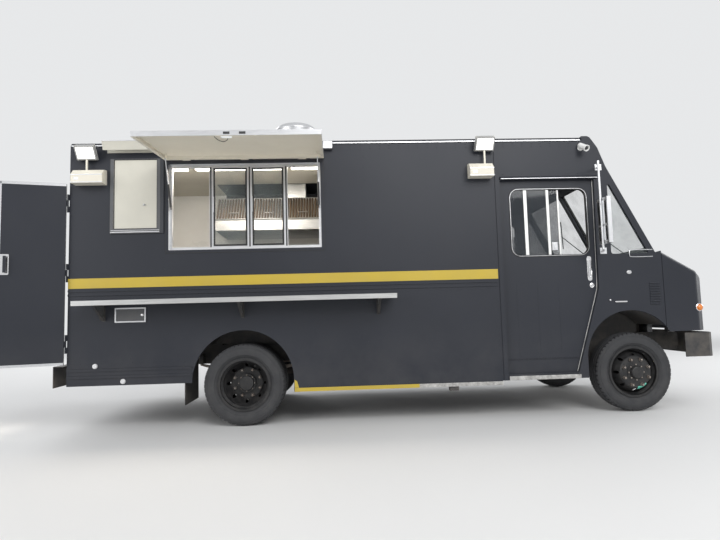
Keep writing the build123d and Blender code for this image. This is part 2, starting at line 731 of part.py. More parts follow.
slope_length = hypot(windshield_foot[0] - cap_brow[-1][0], windshield_foot[1] - cap_brow[-1][1])
glass_head = 70.0
glass_foot = slope_length - 60.0


def slope_band(run_a, run_b, depth_a, depth_b):
    return outline(slope_place(run_a, depth_a), slope_place(run_b, depth_a), slope_place(run_b, depth_b),
                   slope_place(run_a, depth_b))


def windshield_sides(gap):
    """Right pane's width between the centre post and the corner pillar."""
    return -half_body + pillar_width + gap, -pillar_width / 2 - gap


def front_cap():
    cap = across(cap_outline(), -half_body, half_body)
    hole = slope_band(glass_head, glass_foot, -10, cap_sheet + 10)
    return cap - both_sides(across(hole, *windshield_sides(0)))


def quarter_window(gap):
    rear = door_front_x + 138 + gap
    low = windshield_foot[1] - 8 + gap
    front_line = cap_line(cap_sheet + 20 + gap)
    (x_a, z_a), (x_b, z_b) = front_line[-2], front_line[-1]
    slope = (x_b - x_a) / (z_b - z_a)
    top = z_a + (rear + 20 - x_a) / slope
    return outline((rear, low, 25), (x_b + (low - z_b) * slope, low, 14), (rear + 20, top, 8), (rear, top - 20, 8))


def door_opening(lap):
    """Cab doorway in side view: its front edge slants back over the wheel."""
    return outline((door_rear_x - lap, door_foot_z - lap, 12), (door_foot_x + lap, door_foot_z - lap, 12),
                   (door_knee_x + lap, door_knee_z, 60), (door_front_x + lap, door_top_z + lap, 12),
                   (door_rear_x - lap, door_top_z + lap, 12))


def cab_side_outline():
    inner = cap_line(cap_sheet)
    bent = [(*p, max(r - cap_sheet, 8)) for p, r in zip(inner[1:-1], brow_radii)]
    arch_drop = sqrt(front_arch_radius ** 2 - (cab_front_x - front_arch_x) ** 2)
    sheet = outline((body_front_x, cab_sill_z), (cab_front_x, cab_sill_z), (cab_front_x, hood_rear_z),
                    (windshield_foot[0] + 10, hood_rear_z - 12), inner[-1], *reversed(bent), inner[0],
                    (cap_rear_x, wall_top), (body_front_x, wall_top))
    arch = Pos(front_arch_x, front_arch_z) * Circle(front_arch_radius)
    middle = (cab_sill_z + front_arch_z) / 2 - 20
    below = Pos(front_arch_x, middle) * Rectangle(2 * front_arch_radius, front_arch_z - cab_sill_z + 40)
    return sheet - arch - below


def door_track():
    """Roller rail above the doorway, open at the bottom so that the door hangs from it."""
    y = wall_inner_y
    lip_top = track_top()
    hook = outline((-y, door_top_z + 112), (-y, door_top_z + 118), (-y + 66, door_top_z + 118),
                   (-y + 66, lip_top - 20), (-y + 40, lip_top - 20), (-y + 40, lip_top), (-y + 60, lip_top),
                   (-y + 60, door_top_z + 112))
    return along(hook, door_rear_x - door_travel - 40, door_front_x + 20)


def track_top():
    return door_top_z + 52.0


def cab_side_right():
    y = half_body
    panel = across(cab_side_outline(), -y, -wall_inner_y)
    panel -= across(door_opening(0), -y - 20, -wall_inner_y + 20)
    panel -= across(quarter_window(0), -y - 20, -wall_inner_y + 20)
    top = door_top_z
    ledge = outline((-y, top + 12), (-y - 26, top + 6), (-y - 26, top + 12), (-y, top + 36))
    panel += along(ledge, door_rear_x, door_front_x + 35)
    panel += slab(body_front_x + 12, door_rear_x - 12, -y - 8, -y, cab_sill_z, wall_top - 60)
    panel += slab(door_rear_x, door_foot_x + 20, -y - 10, -y, cab_sill_z, cab_sill_z + 42)
    louvre_x, louvre_z = cab_front_x - 149, 1108
    for i in range(louvre_count):
        z = louvre_z + i * louvre_step
        louvre = outline((-y, z + 10), (-y - 9, z - 4), (-y - 9, z - 6), (-y, z - 9))
        panel += along(louvre, louvre_x, louvre_x + louvre_width)
    return panel + door_track()


def window_glass():
    quarter = across(quarter_window(seat_gap), -wall_inner_y - 16, -wall_inner_y - 10)
    screen = slope_band(glass_head + seat_gap, glass_foot - seat_gap, 14, 20)
    glass = both_sides(quarter) + both_sides(across(screen, *windshield_sides(seat_gap)))
    inset = sash_width + seat_gap
    for x_low, x_high, z_low, z_high, y in sash_limits():
        light = frame_outline(x_low + inset, x_high - inset, z_low + inset, z_high - inset, sash_corner)
        glass += across(light, y + 4, y + 4 + pane)
    return glass


def sash_limits():
    """The serving window's two middle sections are glazed, on two tracks, and its end ones stand open."""
    half = mullion_width / 2 + seat_gap
    low, high = window_sill_z + window_frame_width + seat_gap, window_head_z - window_frame_width - seat_gap
    return [(a + half, b - half, low, high, -wall_inner_y + 6 + 2 * i)
            for i, (a, b) in enumerate(zip(mullion_places, mullion_places[1:]))]


def cab_floor():
    y = wall_inner_y
    floor = slab(body_front_x, firewall_rear_x, -y, y, floor_bottom, floor_top)
    for x in cab_bearer_places:
        floor += bearer(x, wheelhouse_inner_y - 30)
    # Step wells beside the seats, with the doors' slots outside them
    slot = y - door_gap - door_sheet - 12
    floor -= both_sides(slab(body_front_x, door_front_x - 125, -y, -slot, floor_bottom, floor_top))
    well_rear, well_front, well_inner = door_rear_x + 55, door_foot_x - 29, half_body - 400
    well = slab(well_rear, well_front, -slot, -well_inner, cab_sill_z + 70, floor_top)
    floor -= both_sides(well)
    shell = slab(well_rear - 8, well_front + 8, -slot, -well_inner + 8, cab_sill_z + 60, floor_top)
    floor += both_sides(shell - slab(well_rear, well_front, -slot - 1, -well_inner, cab_sill_z + 70, floor_top + 1))
    # Engine cover and its opening
    half, top, sheet, cover_x = engine_cover_half, engine_cover_top, 10, engine_rear_x - 130
    floor -= slab(cover_x, firewall_rear_x, -half, half, floor_bottom, floor_top)
    cover = slab(cover_x - sheet, firewall_rear_x, -half - sheet, half + sheet, floor_top, top)
    floor += cover - slab(cover_x, firewall_rear_x + 10, -half, half, floor_top - 1, top - sheet)
    firewall = slab(firewall_rear_x, cab_front_x - 12, -y, y, floor_bottom, hood_rear_z - 36)
    firewall -= slab(firewall_rear_x - 1, cab_front_x, -half, half, floor_bottom - 1, top - sheet)
    shelf = slab(windshield_foot[0] - 30, cab_front_x - 12, -y, y, hood_rear_z - 48, hood_rear_z - 36)
    floor += firewall + shelf
    # Front wheelhouses
    radius = front_arch_radius + wheelhouse_sheet
    house = rod_y(front_arch_x, front_arch_z, radius, -y, -wheelhouse_inner_y + wheelhouse_sheet)
    rear_wall = slab(front_arch_x - radius, front_arch_x, -y, -wheelhouse_inner_y + wheelhouse_sheet,
                     front_arch_z - 100, front_arch_z)
    keep = slab(front_arch_x - radius, firewall_rear_x + 10, -y, 0, front_arch_z - 100, 1300)
    hollow = rod_y(front_arch_x, front_arch_z, front_arch_radius, -y, -wheelhouse_inner_y)
    hollow += slab(front_arch_x - front_arch_radius, front_arch_x + radius, -y, -wheelhouse_inner_y, cab_sill_z - 70,
                   front_arch_z)
    floor += both_sides((house + rear_wall) & keep)
    return floor - both_sides(hollow)


def dashboard():
    back, low = firewall_rear_x - 10, engine_cover_top + 20
    section = outline((back, low), (back, low + 300), (back - 195, low + 260, 40), (back - 235, low + 180, 30),
                      (back - 185, low))
    dash = across(section, -half_body + 280, half_body - 130)
    dash += slab(back - 215, back, -engine_cover_half + 20, engine_cover_half - 20, engine_cover_top + seat_gap,
                 low + 40)
    centre = Vector(back - 475, driver_y, 1480)
    lean = Plane(origin=centre, x_dir=(0, 1, 0), z_dir=(-0.55, 0, 0.83))
    wheel = lean * Torus(steering_wheel_radius, 14)
    wheel += lean * Pos(0, 0, -10) * Cylinder(45, 30)
    for turn in (0, 120, 240):
        wheel += lean * Rot(0, 0, turn + 90) * Pos(110, 0, -6) * Box(200, 26, 10)
    reach = Vector(0.55, 0, -0.83) * 330
    wheel += extrude(Plane(origin=centre, z_dir=reach) * Circle(24), amount=330)
    return dash + wheel + slab(back - 375, back - 165, driver_y - 50, driver_y + 50, low - 20, low + 40)


def driver_seat():
    x, y, z = driver_seat_x, driver_y, floor_top + 310
    base = slab(x, x + 380, y - 170, y + 170, floor_top + seat_gap, z)
    cushion = across(outline((x - 40, z), (x + 450, z), (x + 460, z + 120, 50), (x - 40, z + 100)), y - 250, y + 250)
    back = across(outline((x - 40, z + 50), (x + 70, z + 90), (x - 20, z + 750, 40), (x - 120, z + 750, 40)),
                  y - 240, y + 240)
    return base + cushion + back


def cab_door_right():
    y_out = -wall_inner_y + door_gap
    leaf = across(door_opening(door_lap), y_out, y_out + door_sheet)
    hole = frame_outline(door_window_rear_x, door_window_front_x, door_window_sill_z, door_window_head_z,
                         door_window_radius)
    leaf -= across(hole, y_out - 20, y_out + door_sheet + 20)
    axle_z = track_top() + seat_gap + roller_radius
    for x in (door_rear_x + 120, door_front_x - 120):
        leaf += slab(x - 40, x + 40, y_out, y_out + door_sheet, door_top_z, axle_z + 18)
        leaf += rod_y(x, axle_z, 6, y_out + door_sheet, y_out + door_sheet + 16)
        leaf += rod_y(x, axle_z, roller_radius, y_out + door_sheet + 6, y_out + door_sheet + 18)
    inner = y_out + door_sheet
    leaf += slab(door_front_x - 100, door_front_x - 84, inner + 24, inner + 34, 1360, 1600)
    for z in (1372, 1588):
        leaf += slab(door_front_x - 100, door_front_x - 84, inner, inner + 26, z - 8, z + 8)
    return leaf


def door_glass_right():
    y_out = -wall_inner_y + door_gap
    gap = seat_gap
    hole = frame_outline(door_window_rear_x + gap, door_window_front_x - gap, door_window_sill_z + gap,
                         door_window_head_z - gap, door_window_radius - gap)
    low, high = door_window_sill_z - 5, door_window_head_z + 5
    rear, near, far = door_window_rear_x, y_out - 20, y_out + door_sheet + 20
    fixed = across(hole, y_out + 6, y_out + 6 + pane) & slab(rear - 75, rear + 415, near, far, low, high)
    slider = across(hole, y_out + 18, y_out + 18 + pane) & slab(rear + 150, rear + 525, near, far, low, high)
    return fixed + slider


# Bonnet
def hood_form(inset):
    """The bonnet's outer form, or the same form drawn smaller by an inset."""
    beyond = 40 if inset else 0
    rear = cab_front_x + hood_seam - beyond
    low = hood_bottom_z - beyond
    side, nose = half_body - inset, hood_front_half_width - inset
    front, corner = hood_front_x - inset, hood_front_corner_x - inset
    ahead = hood_front_x + 30
    slope = (hood_brow_z - hood_rear_z) / (hood_front_corner_x - cab_front_x)
    rear_top = hood_rear_z - inset + (rear - cab_front_x) * slope
    ahead_top = hood_rear_z - inset + (ahead - cab_front_x) * slope
    profile = outline((rear, low), (ahead, low), (ahead, ahead_top), (rear, rear_top))
    flat = nose_flat_half
    plan = outline((rear - 5, -side), (corner - 110, -side + 40), (corner, -nose), (front, -flat), (front, flat),
                   (corner, nose), (corner - 110, side - 40), (rear - 5, side))
    form = across(profile, -half_body - 20, half_body + 20) & upright(plan, low - 20, hood_rear_z + 20)
    corners = [edge for edge in form.edges().filter_by(Axis.Z) if rear + 20 < edge.center().X < front - 1]
    form = fillet(corners, hood_corner_radius - inset)
    brow = [edge for edge in form.faces().sort_by(Axis.Z)[-1].edges() if edge.center().X > rear + 5]
    return fillet(brow, hood_brow_radius - inset)


def hood():
    shell = hood_form(0) - hood_form(hood_sheet)
    arch = rod_y(front_arch_x, front_arch_z, front_arch_radius, -half_body - 5, half_body + 5)
    arch += slab(front_arch_x, front_arch_x + front_arch_radius, -half_body - 5, half_body + 5, 300, front_arch_z)
    shell -= arch
    x_low, x_high = hood_front_corner_x - 60, hood_front_x + 40
    shell -= slab(x_low, x_high, -grille_half_width, grille_half_width, grille_low_z, grille_high_z)
    half_w, half_h = headlamp_width / 2, headlamp_height / 2
    shell -= both_sides(slab(x_low, x_high, -headlamp_y - half_w, -headlamp_y + half_w, headlamp_z - half_h,
                             headlamp_z + half_h))
    # Slats across the grille's opening, between uprights fixed behind its edges
    pitch = (grille_high_z - grille_low_z) / grille_slats
    behind_sheet = hood_front_x - hood_sheet + 1
    slat_front, slat_end = hood_front_x - 24, grille_half_width + 12
    for i in range(grille_slats):
        z = grille_low_z + (i + 0.5) * pitch
        shell += slab(slat_front - 22, slat_front, -slat_end, slat_end, z - 7, z + 7)
    for y in (-grille_half_width - 6, 0, grille_half_width + 6):
        shell += slab(slat_front - 32, behind_sheet, y - 8, y + 8, grille_low_z - 20, grille_high_z + 20)
    # Ears on the pins
    boss = hood_lug_radius
    ear_y = (-rail_outer_y + 41, -rail_outer_y + 57)
    ear = slab(hood_pin_x, behind_sheet, *ear_y, hood_pin_z - boss, hood_pin_z + 90)
    ear += rod_y(hood_pin_x, hood_pin_z, boss, *ear_y)
    shell += both_sides(ear)
    return shell - both_sides(rod_y(hood_pin_x, hood_pin_z, hood_pin_radius + running_gap, ear_y[0] - 2,
                                    ear_y[1] + 2))


def headlamps():
    half_w, half_h = headlamp_width / 2 - seat_gap, headlamp_height / 2 - seat_gap
    x = hood_front_corner_x + 12
    lamp = slab(x - 40, x + 20, -headlamp_y - half_w, -headlamp_y + half_w, headlamp_z - half_h, headlamp_z + half_h)
    return both_sides(lamp)


# Serving side
def serving_window():
    y_out, y_in = -wall_inner_y, -wall_inner_y + window_frame_depth
    rim = frame_outline(window_rear_x - 14, window_front_x + 14, window_sill_z - 14, window_head_z + 14, 8)
    hole = frame_outline(window_rear_x + window_frame_width, window_front_x - window_frame_width,
                         window_sill_z + window_frame_width, window_head_z - window_frame_width, 4)
    frame = across(rim, y_out, y_in) - across(hole, y_out - 5, y_in + 5)
    for x in mullion_places:
        frame += slab(x - mullion_width / 2, x + mullion_width / 2, y_out + 4, y_in, window_sill_z + 10,
                      window_head_z - 10)
    for x_low, x_high, z_low, z_high, y in sash_limits():
        sash = frame_outline(x_low, x_high, z_low, z_high, 6)
        light = frame_outline(x_low + sash_width, x_high - sash_width, z_low + sash_width, z_high - sash_width,
                              sash_corner)
        frame += across(sash, y, y + sash_depth) - across(light, y - 5, y + sash_depth + 5)
    # Plates and pins for the struts' feet
    foot_y = strut_line()[0][0]
    for front in (False, True):
        side = 1 if front else -1
        near, far = sorted((strut_x(front) + side * (strut_eye_half + seat_gap), strut_x(front) + side * 13))
        frame += slab(near, far, foot_y - 9, y_out + 10, strut_foot_z - 10, strut_foot_z + 10)
        near, far = sorted((strut_x(front) - side * strut_eye_half, strut_x(front) + side * 13))
        frame += rod_x(foot_y, strut_foot_z, strut_pin_radius, near, far)
    return frame


def hatch_hinge():
    return -half_body - hatch_stand_off, window_head_z + 36.0


def strut_x(front):
    return window_front_x - strut_inset if front else window_rear_x + strut_inset


def strut_hatch_pin():
    """Where the struts meet the hatch when it is shut: inside the window's opening."""
    hinge_y, hinge_z = hatch_hinge()
    return hinge_y + 25.0, hinge_z - strut_reach


def swung(y, z, angle):
    """A place on the hatch after it has swung up by an angle from shut."""
    hinge_y, hinge_z = hatch_hinge()
    a = radians(-angle)
    dy, dz = y - hinge_y, z - hinge_z
    return hinge_y + dy * cos(a) - dz * sin(a), hinge_z + dy * sin(a) + dz * cos(a)


def hatch():
    hinge_y, hinge_z = hatch_hinge()
    low, high = hinge_z - hatch_height, hinge_z + 4
    x_low, x_high = window_rear_x - hatch_margin, window_front_x + hatch_margin
    leaf = slab(x_low, x_high, hinge_y - hatch_sheet, hinge_y, low, high)
    recess_y = hinge_y - hatch_recess
    leaf -= slab(x_low + hatch_border, x_high - hatch_border, recess_y, hinge_y + 1, low + hatch_border, high - 60)
    pin_y, pin_z = strut_hatch_pin()
    for front in (False, True):
        side = -1 if front else 1
        near, far = sorted((strut_x(front) + side * (strut_eye_half + seat_gap), strut_x(front) + side * 13))
        leaf += slab(near, far, recess_y - 1, pin_y + 9, pin_z - 10, pin_z + 10)
    for x in hatch_hinge_places():
        leaf -= rod_x(hinge_y, hinge_z, 9, x + 40, x + 81)
        leaf += rod_x(hinge_y, hinge_z, 6, x - 40, x + 40)
    turn = Pos(0, hinge_y, hinge_z) * Rot(-hatch_open_angle, 0, 0) * Pos(0, -hinge_y, -hinge_z)
    return turn * leaf


def hatch_hinge_places():
    span = window_front_x - window_rear_x
    return [window_rear_x + span * share for share in (0.12, 0.5, 0.88)]


def strut_line():
    """The struts' feet on the wall and their upper ends on the raised hatch, in front view."""
    pin_y, pin_z = strut_hatch_pin()
    return (pin_y, strut_foot_z), swung(pin_y, pin_z, hatch_open_angle)


def strut_plane(x, from_foot):
    (foot_y, foot_z), (top_y, top_z) = strut_line()
    start, end = Vector(x, foot_y, foot_z), Vector(x, top_y, top_z)
    if not from_foot:
        start, end = end, start
    return Plane(origin=start, x_dir=(1, 0, 0), z_dir=end - start)


def strut_tube(front):
    x = strut_x(front)
    place = strut_plane(x, True)
    stem = 16.0
    tube = place * Pos(0, 0, (stem + strut_tube_length) / 2) * Cylinder(strut_tube_radius, strut_tube_length - stem)
    tube += place * Pos(0, 0, stem / 2 + 1) * Cylinder(strut_eye_half - 0.5, stem + 2)
    bore_radius = strut_rod_radius + running_gap
    tube -= place * Pos(0, 0, strut_tube_length / 2 + 30) * Cylinder(bore_radius, strut_tube_length)
    eye = place * Rot(0, 90, 0) * Cylinder(strut_eye_radius, 2 * strut_eye_half)
    bore = place * Rot(0, 90, 0) * Cylinder(strut_pin_radius + running_gap, 2 * strut_eye_half + 2)
    return tube + eye - bore


def strut_rod(front):
    x = strut_x(front)
    place = strut_plane(x, False)
    rod = place * Pos(0, 0, strut_rod_length / 2) * Cylinder(strut_rod_radius, strut_rod_length)
    return rod + place * Rot(0, 90, 0) * Cylinder(strut_eye_radius, 2 * strut_eye_half)


def serving_shelf():
    y, top, sheet = -half_body - seat_gap, shelf_top_z, shelf_sheet
    edge = y - shelf_depth
    section = outline((y, top), (edge, top), (edge, top - shelf_lip), (edge + sheet, top - shelf_lip),
                      (edge + sheet, top - sheet), (y - sheet, top - sheet), (y - sheet, top - 30), (y, top - 30))
    shelf = along(section, shelf_rear_x, shelf_front_x)
    for x in shelf_bracket_places:
        gusset = outline((y, top - 2), (edge + 40, top - 2), (edge + 40, top - 30), (y - 20, top - 190), (y, top - 190))
        shelf += along(gusset, x - 3, x + 3)
    return shelf


def side_window():
    y = half_body
    x_low, x_high = side_window_rear_x, side_window_front_x
    z_low, z_high = side_window_sill_z, side_window_head_z
    edge = side_window_frame
    rim = frame_outline(x_low - edge + 12, x_high + edge + 18, z_low - edge, z_high + 6, 6)
    frame = across(rim, -y - 12 - seat_gap, -y - seat_gap)
    frame -= across(frame_outline(x_low, x_high, z_low, z_high, 6), -y - 30, -y)
    gap = seat_gap
    panel = across(frame_outline(x_low + gap, x_high - gap, z_low + gap, z_high - gap, 12), -y - 4, -y + 12)
    top = z_high + 70 + visor_height
    hood = outline((-y - seat_gap, top + 4), (-y - visor_depth, top), (-y - visor_depth + 40, top - visor_height),
                   (-y - visor_depth + 46, top - visor_height), (-y - visor_depth + 10, top - 8),
                   (-y - seat_gap, top - 4))
    visor = along(hood, x_low - 70, x_high + 90)
    visor += slab(x_low - 70, x_high + 90, -y - 4, -y - seat_gap, z_high + 70, top)
    return frame + panel + visor


def extractor_hood():
    y_back, low, high = wall_inner_y - 10, extractor_low_z, extractor_high_z
    y_in = y_back - extractor_depth
    x_low, x_high = extractor_x
    form = outline((y_in, low), (y_back, low), (y_back, high), (y_in + 200, high), (y_in, low + 120))
    shell = along(form, x_low, x_high)
    inner = outline((y_in + 4, low - 5), (y_back - 4, low - 5), (y_back - 4, high - 4), (y_in + 202, high - 4),
                    (y_in + 4, low + 118))
    shell -= along(inner, x_low + 4, x_high - 4)
    duct = slab(260, 560, y_back - 614, y_back - 314, high - 2, roof_top - roof_sheet - seat_gap)
    return shell + duct


def kitchen_counters():
    top, low = window_sill_z - 30, floor_top + seat_gap
    radius = rear_arch_radius + 35 + wheelhouse_sheet + 8
    clear = rod_y(0, rear_arch_z, radius, -wall_inner_y, -wheelhouse_inner_y + 20)
    front = -wall_inner_y + serving_counter_depth
    x_low, x_high = serving_counter_x
    serving = slab(x_low, x_high, -wall_inner_y + 8, front, low, top - 40) - clear
    serving += slab(x_low - 10, x_high + 10, -wall_inner_y + 6, front + 20, top - 40, top)
    front, top = wall_inner_y - cooking_counter_depth, floor_top + counter_height
    x_low, x_high = cooking_counter_x
    cooking = slab(x_low, x_high, front, wall_inner_y - 8, low, top - 40) - other_side(clear)
    cooking += slab(x_low - 10, x_high + 10, front - 20, wall_inner_y - 6, top - 40, top)
    return serving + cooking + griddle(-550, front, top) + fryer(250, front, top) + hot_well(700, front, top)


def griddle(x, front, counter):
    """A flat plate with a grease gutter along its front and a splash guard up its back."""
    low, high = counter + seat_gap, counter + 85
    back, width = wall_inner_y - 64, 700
    body = slab(x, x + width, front, back, low, high)
    rise = high + 90
    guard = across(outline((x, high), (x + width, high), (x + width, rise, 30), (x, rise, 30)), back - 6, back)
    return body + guard - slab(x + 12, x + width - 12, front + 22, front + 70, high - 12, high + 1)


def fryer(x, front, counter):
    """Two wells under domed lids, with the burner's flue up the back."""
    low, high = counter + seat_gap, counter + 110
    back, width = wall_inner_y - 64, 340
    body = slab(x, x + width, front, back, low, high) + slab(x, x + width, back - 60, back, high, high + 190)
    for middle in (x + width * 0.27, x + width * 0.73):
        body += lid(middle, (front + back) / 2 - 25, high, width * 0.42, back - front - 140)
    return body


def hot_well(x, front, counter):
    """A counter-top warmer with three lidded pans."""
    low, high = counter + seat_gap, counter + 90
    back, width = wall_inner_y - 64, 500
    body = slab(x, x + width, front, back, low, high)
    for share in (1 / 6, 3 / 6, 5 / 6):
        body += lid(x + width * share, (front + back) / 2, high, width / 3 - 22, back - front - 60)
    return body


def lid(x, y, z, width, depth):
    """A pan's lid: a low pyramid with a bar handle."""
    rise, grip = 24, 38
    with BuildPart() as cover:
        with BuildSketch():
            Rectangle(width, depth)
        with BuildSketch(Plane.XY.offset(rise)):
            Rectangle(width * 0.7, depth * 0.8)
        loft()
    handle = slab(-grip - 6, grip + 6, -6, 6, rise + 16, rise + 24)
    for side in (-grip, grip):
        handle += slab(side - 6, side + 6, -6, 6, rise - 2, rise + 18)
    return Pos(x, y, z) * (cover.part + handle)


def roof_fan():
    x, base = 480.0, roof_top + roof_crown + 0.2
    curb = Pos(x, 0, base + 75) * Box(480, 480, 150)
    body = spun((0.01, 130), (270, 130), (270, 175), (215, 200), (150, 330), (190, 345), (255, 420), (262, 455),
                (235, 520, 60), (0.01, 552))
    return curb + Pos(x, 0, base) * body


def flood_lights():
    y = -half_body - seat_gap
    lights = None
    rear_light = (body_rear_x + 60, body_rear_x + 365, 2440, body_rear_x + 190, 2760)
    front_light = (body_front_x - 270, body_front_x - 25, 2450, body_front_x - 100, 2800)
    for rear, front, low, lamp_x, lamp_z in (rear_light, front_light):
        box = outline((y, low), (y - 120, low), (y - 120, low + 90), (y - 70, low + 140), (y, low + 150))
        light = along(box, rear, front)
        light += slab(lamp_x - 8, lamp_x + 8, y - 66, y - 50, low + 100, lamp_z)
        head = Pos(lamp_x, y - 80, lamp_z) * Rot(35, 0, 0) * Box(190, 46, 140)
        light += head
        lights = light if lights is None else lights + light
    return lights


def slope_plane():
    """Across the windshield, up its slope and out of its face, from its head."""
    (x_a, z_a), (x_b, z_b) = cap_brow[-1], windshield_foot
    return Plane(origin=(x_a, 0, z_a), x_dir=(0, 1, 0), z_dir=(z_a - z_b, 0, x_b - x_a))


def wipers():
    """Each blade lies across its pane, on an arm from a boss under the glass."""
    made = None
    for foot_y, tip_y in ((160.0, 620.0), (-620.0, -160.0)):
        foot, tip = Vector(foot_y, -glass_foot - 33, 14), Vector(tip_y, -glass_foot + 420, 12)
        run = tip - foot
        arm = extrude(Plane(origin=foot, z_dir=run) * Circle(6), amount=run.length)
        boss = Pos(foot_y, -glass_foot - 33, 12 + seat_gap) * Cylinder(20, 24)
        low_end, high_end = tip + Vector(140, -170, -2), tip + Vector(-200, 190, -2)
        spine = high_end - low_end
        blade = extrude(Plane(origin=low_end, z_dir=spine) * Circle(7), amount=spine.length)
        wiper = slope_plane() * (boss + arm + blade)
        made = wiper if made is None else made + wiper
    return made


def truck_lamps():
    """Round lamps in threes on the rear wall, and clearance lamps in a row over it and on the brow."""
    lamps = None
    profile = spun((0.01, 0), (tail_lamp_radius, 0), (tail_lamp_radius, 8), (46, 18, 8), (0.01, 26))
    rear = body_rear_x - seat_gap
    places = [Pos(rear, y, z) * Rot(0, -90, 0) * profile for y in tail_lamp_places for z in tail_lamp_heights]
    width, height, depth = marker_lamp_size
    (x_a, z_a), (x_b, z_b) = cap_brow[0], cap_brow[1]
    brow = Plane(origin=((x_a + x_b) / 2, 0, (z_a + z_b) / 2), x_dir=(0, 1, 0), z_dir=(z_a - z_b, 0, x_b - x_a))
    back = Plane(origin=(body_rear_x, 0, roof_top - 58), x_dir=(0, -1, 0), z_dir=(-1, 0, 0))
    block = Box(width, height, depth)
    block = fillet(block.faces().sort_by(Axis.Z)[-1].edges(), depth * 0.4)
    for plane in (brow, back):
        places += [plane * Pos(y, 0, depth / 2 + seat_gap) * block for y in marker_lamp_places]
    for lamp in places:
        lamps = lamp if lamps is None else lamps + lamp
    return lamps


def mirrors():
    foot_x, tube_x, tube_y = door_front_x + 57, door_front_x - 55, -half_body - mirror_reach
    low_z, top_z = mirror_tube_z
    half, head_low, head_high = mirror_head_size[0] / 2, low_z + 60, low_z + 60 + mirror_head_size[1]
    y = -half_body - seat_gap
    tube = rod_z(tube_x, tube_y, 11, low_z, top_z)
    for z in (top_z - 11, low_z + 11):
        start, end = Vector(foot_x, y, z), Vector(tube_x, tube_y, z)
        arm = extrude(Plane(origin=start, z_dir=end - start) * Circle(10), amount=(end - start).length)
        tube += arm & slab(tube_x - 60, foot_x + 60, tube_y - 60, y - 2, z - 40, z + 40)
        tube += slab(foot_x - 40, foot_x + 30, y - 8, y, z - 32, z + 32)
    head = slab(tube_x + 14, tube_x + 54, tube_y - half, tube_y + half, head_low, head_high)
    for z in (head_low + 60, head_high - 60):
        head += slab(tube_x - 5, tube_x + 20, tube_y - 16, tube_y + 16, z - 14, z + 14)
    return both_sides(tube + head)


def build():
    """Every piece by its name, placed from the rear axle's centre."""
    front_tyre = set_wheel(tyre(), wheelbase, front_wheel_y)
    front_disc = set_wheel(front_wheel(), wheelbase, front_wheel_y)
    twin_tyres = set_wheel(tyre() + Pos(0, 0, -2 * disc_offset) * tyre(), 0, rear_outer_wheel_y)
    twin_wheels = set_wheel(rear_wheel_pair(), 0, rear_outer_wheel_y)
    side_right, door, glass = cab_side_right(), cab_door_right(), door_glass_right()
    knuckle = knuckle_right()
    return {
        "chassis_frame": chassis_frame(), "leaf_springs": leaf_springs(), "front_axle": front_axle(),
        "rear_axle": rear_axle(), "engine_block": engine_block(), "radiator": radiator(), "fuel_tank": fuel_tank(),
        "exhaust_pipe": exhaust_pipe(), "bumpers": bumpers(), "body_floor": body_floor(),
        "side_wall_right": side_wall_right(), "side_wall_left": side_wall_left(), "rear_wall": rear_wall(),
        "roof": roof(), "cab_floor": cab_floor(),
        "cab_side_right": side_right, "cab_side_left": other_side(side_right),
        "front_cap": front_cap(), "window_glass": window_glass(), "mirrors": mirrors(), "dashboard": dashboard(),
        "driver_seat": driver_seat(), "serving_window": serving_window(), "serving_shelf": serving_shelf(),
        "side_window": side_window(), "kitchen_counters": kitchen_counters(), "extractor_hood": extractor_hood(),
        "roof_fan": roof_fan(), "flood_lights": flood_lights(), "truck_lamps": truck_lamps(), "wipers": wipers(),
        "hood": hood(), "headlamps": headlamps(), "hatch": hatch(),
        "strut_tube_front": strut_tube(True), "strut_tube_rear": strut_tube(False),
        "strut_rod_front": strut_rod(True), "strut_rod_rear": strut_rod(False),
        "cab_door_right": door, "cab_door_left": other_side(door),
        "door_glass_right": glass, "door_glass_left": other_side(glass), "rear_door": rear_door(),
        "knuckle_right": knuckle, "knuckle_left": other_side(knuckle), "tie_rod": tie_rod(),
        "front_tyre_right": front_tyre, "front_tyre_left": other_side(front_tyre),
        "front_wheel_right": front_disc, "front_wheel_left": other_side(front_disc),
        "rear_tyres_right": twin_tyres, "rear_tyres_left": other_side(twin_tyres),
        "rear_wheels_right": twin_wheels, "rear_wheels_left": other_side(twin_wheels),
    }


pieces = build()
boxes = [piece.bounding_box() for piece in pieces.values()]
low_x, high_x = min(box.min.X for box in boxes), max(box.max.X for box in boxes)
low_y, high_y = min(box.min.Y for box in boxes), max(box.max.Y for box in boxes)
shift = (-(low_x + high_x) / 2, -(low_y + high_y) / 2, 0.0)

os.makedirs("parts", exist_ok=True)
for name, piece in pieces.items():
    export_step(Pos(*shift) * piece, f"parts/{name}.step")
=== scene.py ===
from functools import partial
from math import cos, pi, radians, sin

import bmesh
import bpy
from bpy.props import FloatProperty, FloatVectorProperty, IntProperty, PointerProperty
from mathutils import Matrix, Vector
from mathutils.bvhtree import BVHTree


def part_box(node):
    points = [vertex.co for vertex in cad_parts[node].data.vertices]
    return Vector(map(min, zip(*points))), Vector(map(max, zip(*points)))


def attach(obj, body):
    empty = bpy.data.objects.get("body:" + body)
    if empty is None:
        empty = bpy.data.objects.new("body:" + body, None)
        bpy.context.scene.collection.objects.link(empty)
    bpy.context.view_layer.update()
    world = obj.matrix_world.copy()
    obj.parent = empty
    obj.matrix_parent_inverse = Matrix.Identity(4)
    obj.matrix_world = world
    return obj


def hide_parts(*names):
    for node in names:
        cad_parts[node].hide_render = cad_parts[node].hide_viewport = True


bl_info = {
    "name": "Food Truck Dressing",
    "version": (1, 0, 0),
    "blender": (4, 5, 0),
    "location": "3D View > Sidebar > Food Truck",
    "description": "Paint, glass, trim, tyres, kitchen and lamps for a step van fitted out as a food truck",
    "category": "Object",
}

